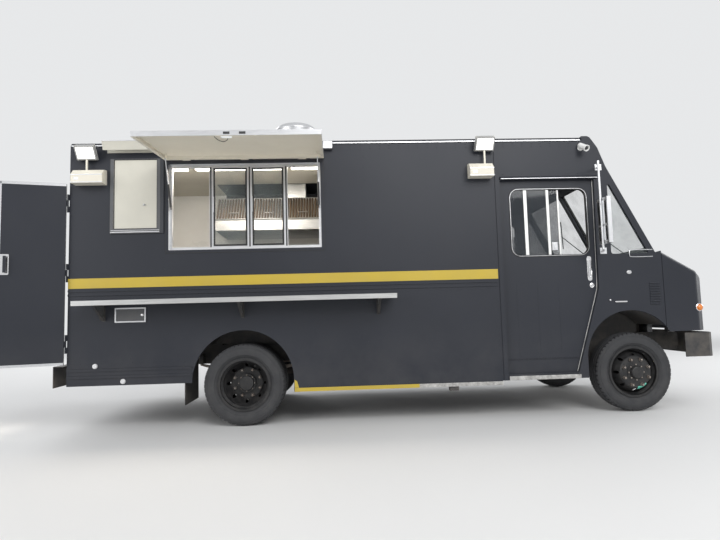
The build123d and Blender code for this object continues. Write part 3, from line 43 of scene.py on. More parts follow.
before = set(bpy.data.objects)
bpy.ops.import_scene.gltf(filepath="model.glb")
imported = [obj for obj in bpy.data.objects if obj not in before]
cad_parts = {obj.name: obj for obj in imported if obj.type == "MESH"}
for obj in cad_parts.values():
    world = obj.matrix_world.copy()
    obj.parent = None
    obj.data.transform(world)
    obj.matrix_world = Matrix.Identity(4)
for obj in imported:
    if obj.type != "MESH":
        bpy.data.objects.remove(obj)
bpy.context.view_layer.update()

# Places below are metres from the rear axle's centre, X forward, Y to the driver's left, Z up
rear_low, rear_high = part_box("rear_tyres_right")
axle_low, axle_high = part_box("front_axle")
origin = Vector(((rear_low.x + rear_high.x) / 2, (axle_low.y + axle_high.y) / 2, 0))
wheelbase = (axle_low.x + axle_high.x) / 2 - origin.x
tyre_radius = (rear_high.z - rear_low.z) / 2
# The outer and inner faces of the left wall, and then of the right one, where the serving side is
wall_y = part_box("front_cap")[1].y - origin.y
inner_y = wall_y - 0.036
skin_y, inside_y = -wall_y, -inner_y
tail_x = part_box("roof")[0].x - origin.x
body_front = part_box("side_wall_right")[1].x - origin.x
front_wheel_y, outer_twin_y, inner_twin_y = 0.985, 1.030, 0.770
window_rear, window_front, window_low, window_high = -0.735, 0.805, 1.765, 2.650
mullions = (-0.319, 0.073, 0.446)
hatch_hinge = Vector((0, skin_y - 0.010, window_high + 0.036))
lamp_places, lamp_tilt = ((-1.520, 2.760), (2.500, 2.800)), 35
glass_head, glass_foot = 0.070, 0.973
tail_lamp_top, tail_lamp_pitch = 1.235, 0.125
# The sliding doors' pockets, where the wall linings end
pocket_x = 1.80
ceiling_light_x = (-1.25, -0.15, 0.95, 2.05)
# Each pair of leaf springs: its place along the truck and across it, and the height of the axle's seat on it
springs = ((wheelbase, 0.4025, tyre_radius + 0.052), (0.0, 0.530, tyre_radius + 0.0645))
# How far the hatch and the rear door stand open, in degrees about their hinges
hatch_open, rear_door_open = -86, 106


# Sizes and colours that a user would change
class CoachworkSettings(bpy.types.PropertyGroup):
    paint: FloatVectorProperty(name="Paint", description="Body colour", subtype="COLOR",
                               default=(0.021, 0.0235, 0.031))
    stripe: FloatVectorProperty(name="Stripe", description="Colour of the band round the body", subtype="COLOR",
                                default=(0.50, 0.362, 0.032))
    stripe_low: FloatProperty(name="Stripe height", description="Lower edge of the band", unit="LENGTH",
                              default=1.403)
    stripe_width: FloatProperty(name="Stripe width", description="Width of the band", unit="LENGTH",
                                default=0.099)
    rivet_radius: FloatProperty(name="Rivet radius", description="Radius of a rivet's head", unit="LENGTH",
                                default=0.0052)
    rivet_pitch: FloatProperty(name="Rivet pitch", description="Distance between rivets", unit="LENGTH",
                               default=0.1)


class TyreSettings(bpy.types.PropertyGroup):
    pitches: IntProperty(name="Tread pitches", description="Tread blocks round the tyre", default=54, min=12)
    groove: FloatProperty(name="Groove depth", description="Depth of the tread's grooves", unit="LENGTH",
                          default=0.011)


class KitchenSettings(bpy.types.PropertyGroup):
    filter_pitch: FloatProperty(name="Baffle pitch", description="Distance between the filters' baffles",
                                unit="LENGTH", default=0.036)
    lamp: FloatProperty(name="Lamp strength", description="Brightness of the ceiling lights", default=13.0,
                        min=0)


class LampSettings(bpy.types.PropertyGroup):
    amber: FloatVectorProperty(name="Amber", description="Colour of the marker lenses", subtype="COLOR",
                               default=(0.85, 0.24, 0.02))
    red: FloatVectorProperty(name="Red", description="Colour of the tail lenses", subtype="COLOR",
                             default=(0.55, 0.012, 0.01))
    clear: FloatVectorProperty(name="Clear", description="Colour of the clear lenses", subtype="COLOR",
                               default=(0.8, 0.8, 0.8))


class StageSettings(bpy.types.PropertyGroup):
    floor: FloatVectorProperty(name="Floor", description="Colour of the floor", subtype="COLOR",
                               default=(0.72, 0.72, 0.71))
    backdrop: FloatVectorProperty(name="Backdrop", description="Colour behind the truck", subtype="COLOR",
                                  default=(0.80, 0.81, 0.82))
    focal: FloatProperty(name="Focal length", description="Camera focal length in millimetres on a 36 mm frame",
                         default=27.05, min=10)


# Building shapes in metres from the rear axle
def spot(x, y, z):
    return Vector((x, y, z)) + origin


def box_of(node):
    """The corners of a piece of the construction model, from the rear axle's centre."""
    return [Vector(corner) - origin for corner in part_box(node)]


def turned_to(axis):
    """The turn that brings the Z axis on to another one."""
    return Vector(axis).normalized().to_track_quat("Z", "Y").to_matrix().to_4x4()


class Shape:
    """A mesh under construction, placed from the rear axle's centre or in a drawing frame of its own."""

    def __init__(self, own_frame=False):
        self.bm = bmesh.new()
        self.base = Vector() if own_frame else origin

    def at(self, x, y, z):
        return Vector((x, y, z)) + self.base

    def block(self, x, y, z):
        corners = [self.bm.verts.new(self.at(a, b, c)) for a in x for b in y for c in z]
        for face in ((0, 1, 3, 2), (4, 6, 7, 5), (0, 4, 5, 1), (2, 3, 7, 6), (0, 2, 6, 4), (1, 5, 7, 3)):
            self.bm.faces.new([corners[i] for i in face])
        return self

    def prism(self, corners, view, low, high):
        """A closed outline in the 'side' (X, Z), 'front' (Y, Z) or 'top' (X, Y) view, given its depth."""
        def lay(a, b, depth):
            if view == "side":
                return self.at(a, depth, b)
            if view == "front":
                return self.at(depth, a, b)
            return self.at(a, b, depth)
        near = [self.bm.verts.new(lay(a, b, low)) for a, b in corners]
        far = [self.bm.verts.new(lay(a, b, high)) for a, b in corners]
        self.bm.faces.new(near)
        self.bm.faces.new(list(reversed(far)))
        for i in range(len(near)):
            j = (i + 1) % len(near)
            self.bm.faces.new((near[j], near[i], far[i], far[j]))
        return self

    def ring(self, outer, inner, view, low, high):
        """The band between two outlines with as many corners each."""
        count = len(outer)
        for i in range(count):
            j = (i + 1) % count
            self.prism([outer[i], outer[j], inner[j], inner[i]], view, low, high)
        bmesh.ops.remove_doubles(self.bm, verts=self.bm.verts, dist=1e-6)
        return self

    def lathe(self, profile, centre, axis, steps=48, start=0.0, span=360.0):
        """Turns a closed profile of (radius, height along the axis) about an axis through a centre."""
        turn, middle = turned_to(axis), self.at(*centre)
        whole = span >= 360
        rings = []
        for i in range(steps if whole else steps + 1):
            angle = radians(start + span * i / steps)
            points = [turn @ Vector((r * cos(angle), r * sin(angle), h)) for r, h in profile]
            rings.append([self.bm.verts.new(middle + point) for point in points])
        for i in range(steps):
            a, b = rings[i], rings[(i + 1) % len(rings)]
            for j in range(len(profile)):
                k = (j + 1) % len(profile)
                self.bm.faces.new((a[j], b[j], b[k], a[k]))
        if not whole:
            self.bm.faces.new(rings[0])
            self.bm.faces.new(list(reversed(rings[-1])))
        bmesh.ops.remove_doubles(self.bm, verts=self.bm.verts, dist=1e-6)
        bmesh.ops.dissolve_degenerate(self.bm, edges=self.bm.edges, dist=1e-7)
        return self

    def tube(self, points, radius, steps=12):
        """A round bar along a line of points."""
        places = [self.at(*p) for p in points]
        side = None
        loops = []
        angles = [2 * pi * j / steps for j in range(steps)]
        for i, place in enumerate(places):
            ahead = places[min(i + 1, len(places) - 1)] - places[max(i - 1, 0)]
            ahead.normalize()
            if side is None:
                side = ahead.orthogonal().normalized()
            side = (side - ahead * side.dot(ahead)).normalized()
            up = ahead.cross(side)
            loops.append([self.bm.verts.new(place + radius * (side * cos(a) + up * sin(a))) for a in angles])
        for a, b in zip(loops, loops[1:]):
            for j in range(steps):
                k = (j + 1) % steps
                self.bm.faces.new((a[j], a[k], b[k], b[j]))
        self.bm.faces.new(list(reversed(loops[0])))
        self.bm.faces.new(loops[-1])
        return self

    def place(self, matrix):
        """Moves all that is drawn so far."""
        bmesh.ops.transform(self.bm, matrix=matrix, verts=self.bm.verts)
        return self

    def swing(self, centre, axis, angle):
        """Turns all that is drawn so far about a line through a centre."""
        centre = self.at(*centre)
        return self.place(Matrix.Translation(centre) @ Matrix.Rotation(radians(angle), 4, axis)
                          @ Matrix.Translation(-centre))

    def add(self, other):
        """Takes in another shape."""
        mesh = other.mesh()
        self.bm.from_mesh(mesh)
        bpy.data.meshes.remove(mesh)
        return self

    def both_sides(self):
        """Adds the same shape on the truck's other side."""
        copy = self.bm.copy()
        for vert in copy.verts:
            vert.co.y = 2 * origin.y - vert.co.y
        for face in copy.faces:
            face.normal_flip()
        mesh = bpy.data.meshes.new("other side")
        copy.to_mesh(mesh)
        copy.free()
        self.bm.from_mesh(mesh)
        bpy.data.meshes.remove(mesh)
        return self

    def mesh(self):
        bmesh.ops.recalc_face_normals(self.bm, faces=self.bm.faces)
        mesh = bpy.data.meshes.new("shape")
        self.bm.to_mesh(mesh)
        self.bm.free()
        return mesh

    def piece(self, name, material, body="truck", bevel=0.0015, **more):
        return finished(name, self.mesh(), material, body, bevel=bevel, **more)


def finished(name, mesh, material, body="truck", slot=None, bevel=0.0, smooth=35, segments=2, replaces=()):
    """A piece from its mesh, on its body. The slot it is given is not used."""
    mesh.name = name
    mesh.materials.clear()
    mesh.materials.append(material)
    for face in mesh.polygons:
        face.use_smooth = True
        face.material_index = 0
    mesh.set_sharp_from_angle(angle=radians(smooth))
    item = bpy.data.objects.new(name, mesh)
    bpy.context.scene.collection.objects.link(item)
    if bevel:
        edge = item.modifiers.new("Edge", "BEVEL")
        edge.width = bevel
        edge.segments = segments
        edge.limit_method = "ANGLE"
        edge.angle_limit = radians(40)
        edge.use_clamp_overlap = True
    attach(item, body)
    if replaces:
        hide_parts(*replaces)
    return item


def rounded(low_a, high_a, low_b, high_b, radius, steps=5):
    """A rectangle's outline with round corners."""
    corners = []
    for a, b, start in ((high_a - radius, high_b - radius, 0), (low_a + radius, high_b - radius, 90),
                        (low_a + radius, low_b + radius, 180), (high_a - radius, low_b + radius, 270)):
        for i in range(steps + 1):
            angle = radians(start + 90 * i / steps)
            corners.append((a + radius * cos(angle), b + radius * sin(angle)))
    return corners


# Node trees: geometry for what repeats, and shader groups that several finishes use
def put(tree, kind, sockets=None, **settings):
    """A new node with its settings, its inputs joined to another node's output or given a value."""
    node = tree.nodes.new(kind)
    for name, value in settings.items():
        setattr(node, name, value)
    for label, value in (sockets or {}).items():
        if isinstance(value, bpy.types.NodeSocket):
            tree.links.new(value, node.inputs[label])
        else:
            node.inputs[label].default_value = value
    return node


def maths(tree, operation, *values, clamp=False):
    return put(tree, "ShaderNodeMath", dict(enumerate(values)), operation=operation, use_clamp=clamp).outputs[0]


def spanned(tree, value, **limits):
    """A value brought from one span to another. The limits are from_min, from_max, to_min and to_max."""
    sockets = {label.replace("_", " ").title(): limit for label, limit in limits.items()}
    return put(tree, "ShaderNodeMapRange", {"Value": value, **sockets}).outputs["Result"]


def mixed(tree, share, first, second, **settings):
    """Two colours, mixed."""
    return put(tree, "ShaderNodeMix", {0: share, 6: first, 7: second}, data_type="RGBA", **settings).outputs[2]


def group(tree, name, maker, **sockets):
    sockets = {label.replace("_", " ").title(): value for label, value in sockets.items()}
    return put(tree, "ShaderNodeGroup", sockets, node_tree=shared(name, maker)).outputs


def place_in(tree):
    return put(tree, "ShaderNodeTexCoord").outputs["Object"]


def node_tree(name, kind, inputs, outputs):
    tree = bpy.data.node_groups.new(name, kind)
    for label, socket, default in inputs:
        made = tree.interface.new_socket(name=label, in_out="INPUT", socket_type=socket)
        if default is not None:
            made.default_value = default
    for label, socket in outputs:
        tree.interface.new_socket(name=label, in_out="OUTPUT", socket_type=socket)
    return tree, put(tree, "NodeGroupInput").outputs, put(tree, "NodeGroupOutput").inputs


def shared(name, maker):
    return bpy.data.node_groups.get(name) or maker()


def copied(tree, given, out, line, turn=None):
    """Ends a tree: the shape stands on each point of a line, is made real and gets its finish."""
    shape = put(tree, "GeometryNodeObjectInfo", {"Object": given["Shape"]})
    stand = {"Points": line.outputs["Mesh"], "Instance": shape.outputs["Geometry"]}
    if turn is not None:
        stand["Rotation"] = turn
    copies = put(tree, "GeometryNodeInstanceOnPoints", stand)
    real = put(tree, "GeometryNodeRealizeInstances", {"Geometry": copies.outputs["Instances"]})
    coat = {"Geometry": real.outputs["Geometry"], "Material": given["Finish"]}
    coated = put(tree, "GeometryNodeSetMaterial", coat)
    tree.links.new(coated.outputs["Geometry"], out["Geometry"])
    return tree


def row_tree():
    """Copies of a shape in a straight row."""
    tree, given, out = node_tree("Row of pieces", "GeometryNodeTree",
                                 [("Shape", "NodeSocketObject", None), ("Count", "NodeSocketInt", 10),
                                  ("Start", "NodeSocketVector", None), ("Step", "NodeSocketVector", None),
                                  ("Finish", "NodeSocketMaterial", None)], [("Geometry", "NodeSocketGeometry")])
    line = put(tree, "GeometryNodeMeshLine", mode="OFFSET",
               sockets={"Count": given["Count"], "Start Location": given["Start"], "Offset": given["Step"]})
    return copied(tree, given, out, line)


def ring_tree():
    """Copies of a shape turned about the Z axis, the shape itself standing at its own radius."""
    tree, given, out = node_tree("Ring of pieces", "GeometryNodeTree",
                                 [("Shape", "NodeSocketObject", None), ("Count", "NodeSocketInt", 10),
                                  ("Finish", "NodeSocketMaterial", None)], [("Geometry", "NodeSocketGeometry")])
    line = put(tree, "GeometryNodeMeshLine", {"Count": given["Count"], "Offset": (0, 0, 0)}, mode="OFFSET")
    index = put(tree, "GeometryNodeInputIndex").outputs[0]
    turn = maths(tree, "MULTIPLY", maths(tree, "DIVIDE", index, given["Count"]), 2 * pi)
    return copied(tree, given, out, line, put(tree, "ShaderNodeCombineXYZ", {"Z": turn}).outputs[0])


def grown(tree, values):
    """The mesh that a geometry node tree makes from its named values."""
    mesh = bpy.data.meshes.new("seed")
    holder = bpy.data.objects.new("seed", mesh)
    bpy.context.scene.collection.objects.link(holder)
    made = holder.modifiers.new("Tree", "NODES")
    made.node_group = tree
    for item in tree.interface.items_tree:
        if item.item_type == "SOCKET" and item.in_out == "INPUT" and item.name in values:
            made[item.identifier] = values[item.name]
    view = bpy.context.evaluated_depsgraph_get()
    result = bpy.data.meshes.new_from_object(holder.evaluated_get(view))
    holder.modifiers.remove(made)
    bpy.data.objects.remove(holder)
    bpy.data.meshes.remove(mesh)
    return result


def seed_shape(shape):
    """A shape about the scene's own origin, for a tree to copy."""
    item = bpy.data.objects.new("seed shape", shape.mesh())
    bpy.context.scene.collection.objects.link(item)
    return item


def joined(meshes):
    whole = bmesh.new()
    for mesh in meshes:
        whole.from_mesh(mesh)
        bpy.data.meshes.remove(mesh)
    result = bpy.data.meshes.new("joined")
    whole.to_mesh(result)
    whole.free()
    return result


def rows(shape, lines, material, own_frame=False):
    """One mesh of many straight rows: each line is its start, its step and its count."""
    tree, seed = shared("Row of pieces", row_tree), seed_shape(shape)
    meshes = [grown(tree, {"Shape": seed, "Count": count, "Start": start if own_frame else tuple(spot(*start)),
                           "Step": step, "Finish": material}) for start, step, count in lines]
    bpy.data.objects.remove(seed)
    return joined(meshes)


def ring(shape, count, material, centre, axis):
    """One mesh of copies round an axis."""
    seed = seed_shape(shape)
    mesh = grown(shared("Ring of pieces", ring_tree), {"Shape": seed, "Count": count, "Finish": material})
    bpy.data.objects.remove(seed)
    mesh.transform(Matrix.Translation(spot(*centre)) @ turned_to(axis))
    return mesh


def grime_group():
    """Dirt that gathers low down and in patches."""
    tree, given, out = node_tree("Grime", "ShaderNodeTree",
                                 [("Scale", "NodeSocketFloat", 3.0), ("Top", "NodeSocketFloat", 1.2),
                                  ("Low", "NodeSocketFloat", 0.2), ("High", "NodeSocketFloat", 0.0)],
                                 [("Mask", "NodeSocketFloat")])
    where = place_in(tree)
    level = put(tree, "ShaderNodeSeparateXYZ", {0: where}).outputs["Z"]
    height = spanned(tree, level, from_min=0.25, from_max=given["Top"], to_min=given["Low"],
                     to_max=given["High"])
    patches = put(tree, "ShaderNodeTexNoise", {"Vector": where, "Scale": given["Scale"], "Detail": 8,
                                               "Roughness": 0.65}).outputs["Fac"]
    patches = spanned(tree, patches, from_min=0.35, from_max=0.75)
    tree.links.new(maths(tree, "MULTIPLY", height, patches, clamp=True), out["Mask"])
    return tree


def grain_group():
    """Fine lines along one axis, as brushing or drawing leaves them."""
    tree, given, out = node_tree("Grain", "ShaderNodeTree",
                                 [("Scale", "NodeSocketFloat", 60.0), ("Stretch", "NodeSocketVector", None)],
                                 [("Lines", "NodeSocketFloat")])
    pull = put(tree, "ShaderNodeVectorMath", {0: place_in(tree), 1: given["Stretch"]}, operation="MULTIPLY")
    lines = put(tree, "ShaderNodeTexNoise", {"Vector": pull.outputs[0], "Scale": given["Scale"], "Detail": 4})
    tree.links.new(lines.outputs["Fac"], out["Lines"])
    return tree


def mottle_group():
    """Soft changes of tone over a painted or moulded surface, and its fine unevenness."""
    tree, given, out = node_tree("Mottle", "ShaderNodeTree",
                                 [("Scale", "NodeSocketFloat", 2.0), ("Fine Scale", "NodeSocketFloat", 300.0)],
                                 [("Tone", "NodeSocketFloat"), ("Fine", "NodeSocketFloat")])
    where = place_in(tree)
    for socket, label, detail in (("Scale", "Tone", 5), ("Fine Scale", "Fine", 2)):
        noise = put(tree, "ShaderNodeTexNoise", {"Vector": where, "Scale": given[socket], "Detail": detail})
        tree.links.new(noise.outputs["Fac"], out[label])
    return tree


def blank_material(name):
    material = bpy.data.materials.new(name)
    material.use_nodes = True
    return material, material.node_tree, material.node_tree.nodes["Principled BSDF"].inputs


def colour_of(material):
    """The output that gives the surface its colour, and the socket it goes to."""
    socket = material.node_tree.nodes["Principled BSDF"].inputs["Base Color"]
    return socket.links[0].from_socket, socket


def finish(name, color, roughness, metallic=0.0, tone=0.12, tone_scale=2.0, fine=300.0, bump=0.06, depth=0.0006,
           grime=None, grime_color=(0.23, 0.2, 0.16), grain=None, coat=0.0, spread=0.12, sheen=0.5, slot=None):
    """A painted, bare or moulded surface. Tone, roughness and relief vary over it, and dirt gathers on it."""
    if name in bpy.data.materials:
        return bpy.data.materials[name]
    material, tree, surface = blank_material(name)
    surface["Metallic"].default_value = metallic
    surface["Specular IOR Level"].default_value = sheen
    if coat:
        surface["Coat Weight"].default_value = coat
        surface["Coat Roughness"].default_value = 0.12
    mottle = group(tree, "Mottle", mottle_group, scale=tone_scale, fine_scale=fine)
    uneven, relief = mottle["Tone"], mottle["Fine"]
    dark, pale = [(*[min(c * share, 1) for c in color[:3]], 1) for share in (1 - tone, 1 + tone)]
    shade = mixed(tree, uneven, dark, pale)
    if grain:
        uneven = relief = group(tree, "Grain", grain_group, scale=grain[0], stretch=grain[1])["Lines"]
        shade = mixed(tree, 0.35, shade, relief, blend_type="MULTIPLY")
    rough = spanned(tree, uneven, to_min=max(roughness - spread, 0.03), to_max=min(roughness + spread, 1))
    if grime:
        scale, top, low, high = grime
        dirt = group(tree, "Grime", grime_group, scale=scale, top=top, low=low, high=high)["Mask"]
        shade = mixed(tree, dirt, shade, (*grime_color, 1))
        rough = put(tree, "ShaderNodeMix", {0: dirt, 2: rough, 3: 0.85}).outputs[0]
    tree.links.new(shade, surface["Base Color"])
    tree.links.new(rough, surface["Roughness"])
    if bump:
        rise = put(tree, "ShaderNodeBump", {"Strength": bump, "Distance": depth, "Height": relief})
        tree.links.new(rise.outputs["Normal"], surface["Normal"])
    return material


def coach_paint():
    return finish("satin black coach paint", bpy.context.scene.coachwork.paint, 0.42, tone=0.16, tone_scale=0.9,
                  fine=90.0, bump=0.04, depth=0.001, grime=(2.6, 1.0, 0.22, 0.015),
                  grime_color=(0.16, 0.15, 0.14), spread=0.1, sheen=0.3, slot="black_paint")


def stripe_paint():
    return finish("yellow stripe film", bpy.context.scene.coachwork.stripe, 0.38, tone=0.07, fine=60.0,
                  grime=(5, 2.2, 0.22, 0.02), coat=0.15, slot="black_paint")


black_enamel = partial(finish, "black chassis enamel", (0.028, 0.028, 0.03), 0.5, tone=0.2, tone_scale=6,
                       fine=120, grime=(7, 1.4, 0.55, 0.1), bump=0.1, slot="frame_paint")
cast_metal = partial(finish, "rough cast metal", (0.10, 0.095, 0.09), 0.62, metallic=0.55, tone=0.25,
                     tone_scale=9, fine=220, bump=0.35, depth=0.001, grime=(9, 1.2, 0.6, 0.2),
                     grime_color=(0.16, 0.1, 0.06))
brushed_steel = partial(finish, "brushed stainless steel", (0.62, 0.62, 0.61), 0.32, metallic=0.9, tone=0.06,
                        tone_scale=1.5, grain=(9, (0.6, 26, 26)), bump=0.05, depth=0.0004, spread=0.1,
                        slot="stainless")
dull_steel = partial(finish, "weathered steel", (0.36, 0.33, 0.3), 0.55, metallic=0.8, tone=0.3,
                     tone_scale=7, fine=160, bump=0.2, grime=(9, 1.0, 0.55, 0.2),
                     grime_color=(0.22, 0.11, 0.05), slot="bare_steel")
satin_aluminium = partial(finish, "satin aluminium", (0.74, 0.745, 0.76), 0.34, metallic=0.88, tone=0.06,
                          tone_scale=3, grain=(12, (0.8, 24, 24)), bump=0.04, depth=0.0003, slot="aluminium")
cream_enamel = partial(finish, "cream enamel", (0.74, 0.7, 0.6), 0.45, tone=0.06, tone_scale=1.6, fine=140,
                       bump=0.05, grime=(3, 3.2, 0.05, 0.16), grime_color=(0.45, 0.4, 0.3),
                       slot="cream_paint")
black_rubber = partial(finish, "black rubber", (0.018, 0.018, 0.019), 0.68, tone=0.2, tone_scale=12,
                       fine=420, bump=0.2, grime=(12, 1.6, 0.25, 0.03), slot="black_plastic")
black_plastic = partial(finish, "black moulded plastic", (0.026, 0.027, 0.029), 0.48, tone=0.12,
                        tone_scale=8, fine=700, bump=0.3, depth=0.0004, grime=(10, 1.8, 0.2, 0.02),
                        slot="black_plastic")
tyre_rubber = partial(finish, "tyre rubber", (0.030, 0.031, 0.034), 0.74, tone=0.25, tone_scale=9, fine=380,
                      bump=0.25, depth=0.0006, grime=(9, 0.85, 0.34, 0.12), grime_color=(0.11, 0.105, 0.10),
                      slot="tyre")
wheel_paint = partial(finish, "black wheel enamel", (0.014, 0.0145, 0.016), 0.40, tone=0.25, tone_scale=14,
                      fine=160, bump=0.12, grime=(14, 0.9, 0.30, 0.10), grime_color=(0.11, 0.10, 0.09),
                      sheen=0.4)
worn_strip = partial(finish, "worn bare strip", (0.56, 0.55, 0.53), 0.45, metallic=0.6, tone=0.3,
                     tone_scale=22, fine=240, bump=0.25, grime=(16, 3.0, 0.75, 0.3),
                     grime_color=(0.10, 0.095, 0.09), slot="aluminium")
bright_strip = partial(finish, "pale sash bar", (0.82, 0.82, 0.8), 0.35, metallic=0.25, tone=0.08,
                       tone_scale=9, fine=200, bump=0.08, grime=(9, 2.6, 0.1, 0.05), slot="aluminium")
chrome = partial(finish, "scuffed chrome", (0.78, 0.78, 0.79), 0.14, metallic=1.0, tone=0.06, tone_scale=30,
                 fine=260, bump=0.04, spread=0.08, grime=(30, 2.5, 0.25, 0.1), slot="aluminium")
grey_frame = partial(finish, "dark grey frame paint", (0.085, 0.088, 0.095), 0.45, tone=0.15, tone_scale=5,
                     fine=200, bump=0.08, grime=(8, 3.0, 0.2, 0.1), slot="black_plastic")
cast_lamp = partial(finish, "lamp housing grey", (0.42, 0.42, 0.41), 0.5, metallic=0.3, tone=0.12,
                    tone_scale=12, fine=260, bump=0.15, grime=(10, 3.2, 0.2, 0.2), slot="aluminium")
white_plastic = partial(finish, "white plastic", (0.8, 0.8, 0.78), 0.4, tone=0.05, tone_scale=6, fine=400,
                        bump=0.05, grime=(9, 3.2, 0.2, 0.15), grime_color=(0.4, 0.37, 0.32),
                        slot="cream_paint")
white_panel = partial(finish, "white wall panel", (0.66, 0.655, 0.63), 0.28, tone=0.04, tone_scale=1.2,
                      fine=90, bump=0.03, grime=(2.4, 3.4, 0.10, 0.22), grime_color=(0.42, 0.38, 0.32),
                      slot="cream_paint")
filter_steel = partial(finish, "greasy filter steel", (0.060, 0.042, 0.030), 0.55, metallic=0.2, tone=0.35,
                       tone_scale=6, sheen=0.25, fine=200, bump=0.12, grime=(8, 3.2, 0.5, 0.4),
                       grime_color=(0.12, 0.07, 0.03), slot="stainless")
mirror_silver = partial(finish, "silvered mirror", (0.88, 0.89, 0.9), 0.05, metallic=1.0, tone=0.02,
                        tone_scale=5, bump=0, spread=0.02, grime=(9, 3.2, 0.1, 0.08), slot="glass")
# Mint for the small label on each front wheel's disc: the label is a real part, but its mint colour is a painted
# reflection
mint_label_painted_reflection = partial(finish, "mint reflector", (0.18, 0.72, 0.55), 0.3, tone=0.12, tone_scale=60,
                         grain=(220, (1, 1, 1)), bump=0.3, depth=0.0005, coat=0.4, spread=0.08,
                         slot="lamp_plastic")


def side_panel():
    """Cream panel and visor, with the frame between them in dark grey."""
    name = "cream panel in a grey frame"
    if name in bpy.data.materials:
        return bpy.data.materials[name]
    material = finish(name, (0.62, 0.60, 0.52), 0.45, tone=0.08, tone_scale=1.6, fine=140, bump=0.05,
                      grime=(2.2, 3.2, 0.05, 0.30), grime_color=(0.36, 0.35, 0.31))
    tree = material.node_tree
    axes = put(tree, "ShaderNodeSeparateXYZ", {0: place_in(tree)}).outputs
    middle, visor_foot = spot(-1.0585, 0, 2.3445), 2.74
    panel = maths(tree, "MULTIPLY", maths(tree, "COMPARE", axes["X"], middle.x, 0.2160),
                  maths(tree, "COMPARE", axes["Z"], middle.z, 0.3560))
    cream = maths(tree, "MAXIMUM", panel, maths(tree, "GREATER_THAN", axes["Z"], visor_foot))
    shade, socket = colour_of(material)
    tree.links.new(mixed(tree, cream, (0.03, 0.033, 0.04, 1), shade), socket)
    return material


def seat_vinyl():
    """Black coated cloth with a pebbled grain."""
    name = "black seat vinyl"
    if name in bpy.data.materials:
        return bpy.data.materials[name]
    material = finish(name, (0.036, 0.036, 0.038), 0.46, tone=0.2, tone_scale=6, fine=120, bump=0.4,
                      depth=0.0007, spread=0.09, slot="seat_cover")
    tree = material.node_tree
    pebbles = put(tree, "ShaderNodeTexVoronoi", feature="DISTANCE_TO_EDGE",
                  sockets={"Scale": 380, "Vector": place_in(tree)})
    tree.links.new(pebbles.outputs["Distance"], tree.nodes["Bump"].inputs["Height"])
    return material


def glass(name, color, alpha, roughness=0.02):
    if name in bpy.data.materials:
        return bpy.data.materials[name]
    material, tree, surface = blank_material(name)
    surface["Base Color"].default_value = (*color, 1)
    surface["Transmission Weight"].default_value = 0.0
    surface["IOR"].default_value = 1.5
    surface["Alpha"].default_value = alpha
    smears = group(tree, "Mottle", mottle_group, scale=5)["Tone"]
    tree.links.new(spanned(tree, smears, from_min=0.45, to_min=roughness, to_max=roughness + 0.14),
                   surface["Roughness"])
    tree.links.new(spanned(tree, smears, from_min=0.4, from_max=0.8, to_min=alpha, to_max=alpha + 0.12),
                   surface["Alpha"])
    return material


window_pane = partial(glass, "clear window glass", (0.30, 0.34, 0.34), 0.10)
door_pane = partial(glass, "tinted sliding pane", (0.035, 0.042, 0.05), 0.42)


def lens(name, color, glow=0.0):
    material = finish(name, color, 0.12, tone=0.1, tone_scale=30, grain=(70, (1, 1, 6)), bump=0.3, depth=0.0008,
                      coat=0.6, spread=0.06, slot="lamp_plastic")
    if glow:
        surface = material.node_tree.nodes["Principled BSDF"].inputs
        surface["Emission Color"].default_value = (*color, 1)
        surface["Emission Strength"].default_value = glow
    return material


def lamp_lenses():
    """One finish for the small lamps: amber on the brow, and at the back red over amber over clear."""
    look = bpy.context.scene.lamp_look
    material = lens("marker and tail lenses", look.red)
    tree = material.node_tree
    axes = put(tree, "ShaderNodeSeparateXYZ", {0: place_in(tree)}).outputs
    half, brow, brow_reach = tail_lamp_pitch / 2, spot(3.6, 0, 0).x, 1
    for axis, middle, reach, color in (("Z", tail_lamp_top - tail_lamp_pitch, half, look.amber),
                                       ("Z", tail_lamp_top - 2 * tail_lamp_pitch, half, look.clear),
                                       ("X", brow, brow_reach, look.amber)):
        shade, socket = colour_of(material)
        band = maths(tree, "COMPARE", axes[axis], middle, reach)
        tree.links.new(mixed(tree, band, shade, (*color, 1)), socket)
    return material


# Finishes for the pieces that come from the construction model
finishes = {
    coach_paint: "side_wall_right side_wall_left rear_wall roof cab_side_right cab_side_left front_cap hood "
                 "cab_door_right cab_door_left rear_door",
    black_enamel: "chassis_frame fuel_tank bumpers body_floor cab_floor strut_tube_front strut_tube_rear",
    cast_metal: "front_axle rear_axle engine_block knuckle_right knuckle_left",
    dull_steel: "leaf_springs exhaust_pipe tie_rod",
    brushed_steel: "serving_shelf kitchen_counters extractor_hood",
    satin_aluminium: "radiator mirrors serving_window roof_fan strut_rod_front strut_rod_rear",
    cream_enamel: "flood_lights hatch",
    side_panel: "side_window",
    black_plastic: "dashboard driver_seat headlamps wipers",
    tyre_rubber: "front_tyre_right front_tyre_left rear_tyres_right rear_tyres_left",
    wheel_paint: "front_wheel_right front_wheel_left rear_wheels_right rear_wheels_left",
    window_pane: "window_glass",
    door_pane: "door_glass_right door_glass_left",
    lamp_lenses: "truck_lamps",
}


class OBJECT_OT_foodtruck_finishes(bpy.types.Operator):
    """Paint, metal, rubber and glass for the pieces of the construction model"""
    bl_idname = "foodtruck.finishes"
    bl_label = "Surface finishes"

    def execute(self, context):
        for maker, nodes in finishes.items():
            for node in nodes.split():
                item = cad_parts[node]
                item.data.materials.clear()
                item.data.materials.append(maker())
        return {"FINISHED"}


def seen_directly(tree):
    """One for rays that come from the camera, a mirror-like surface or through glass."""
    ray = put(tree, "ShaderNodeLightPath").outputs
    return maths(tree, "MAXIMUM", maths(tree, "MAXIMUM", ray["Is Camera Ray"], ray["Is Glossy Ray"]),
                 ray["Is Transmission Ray"])


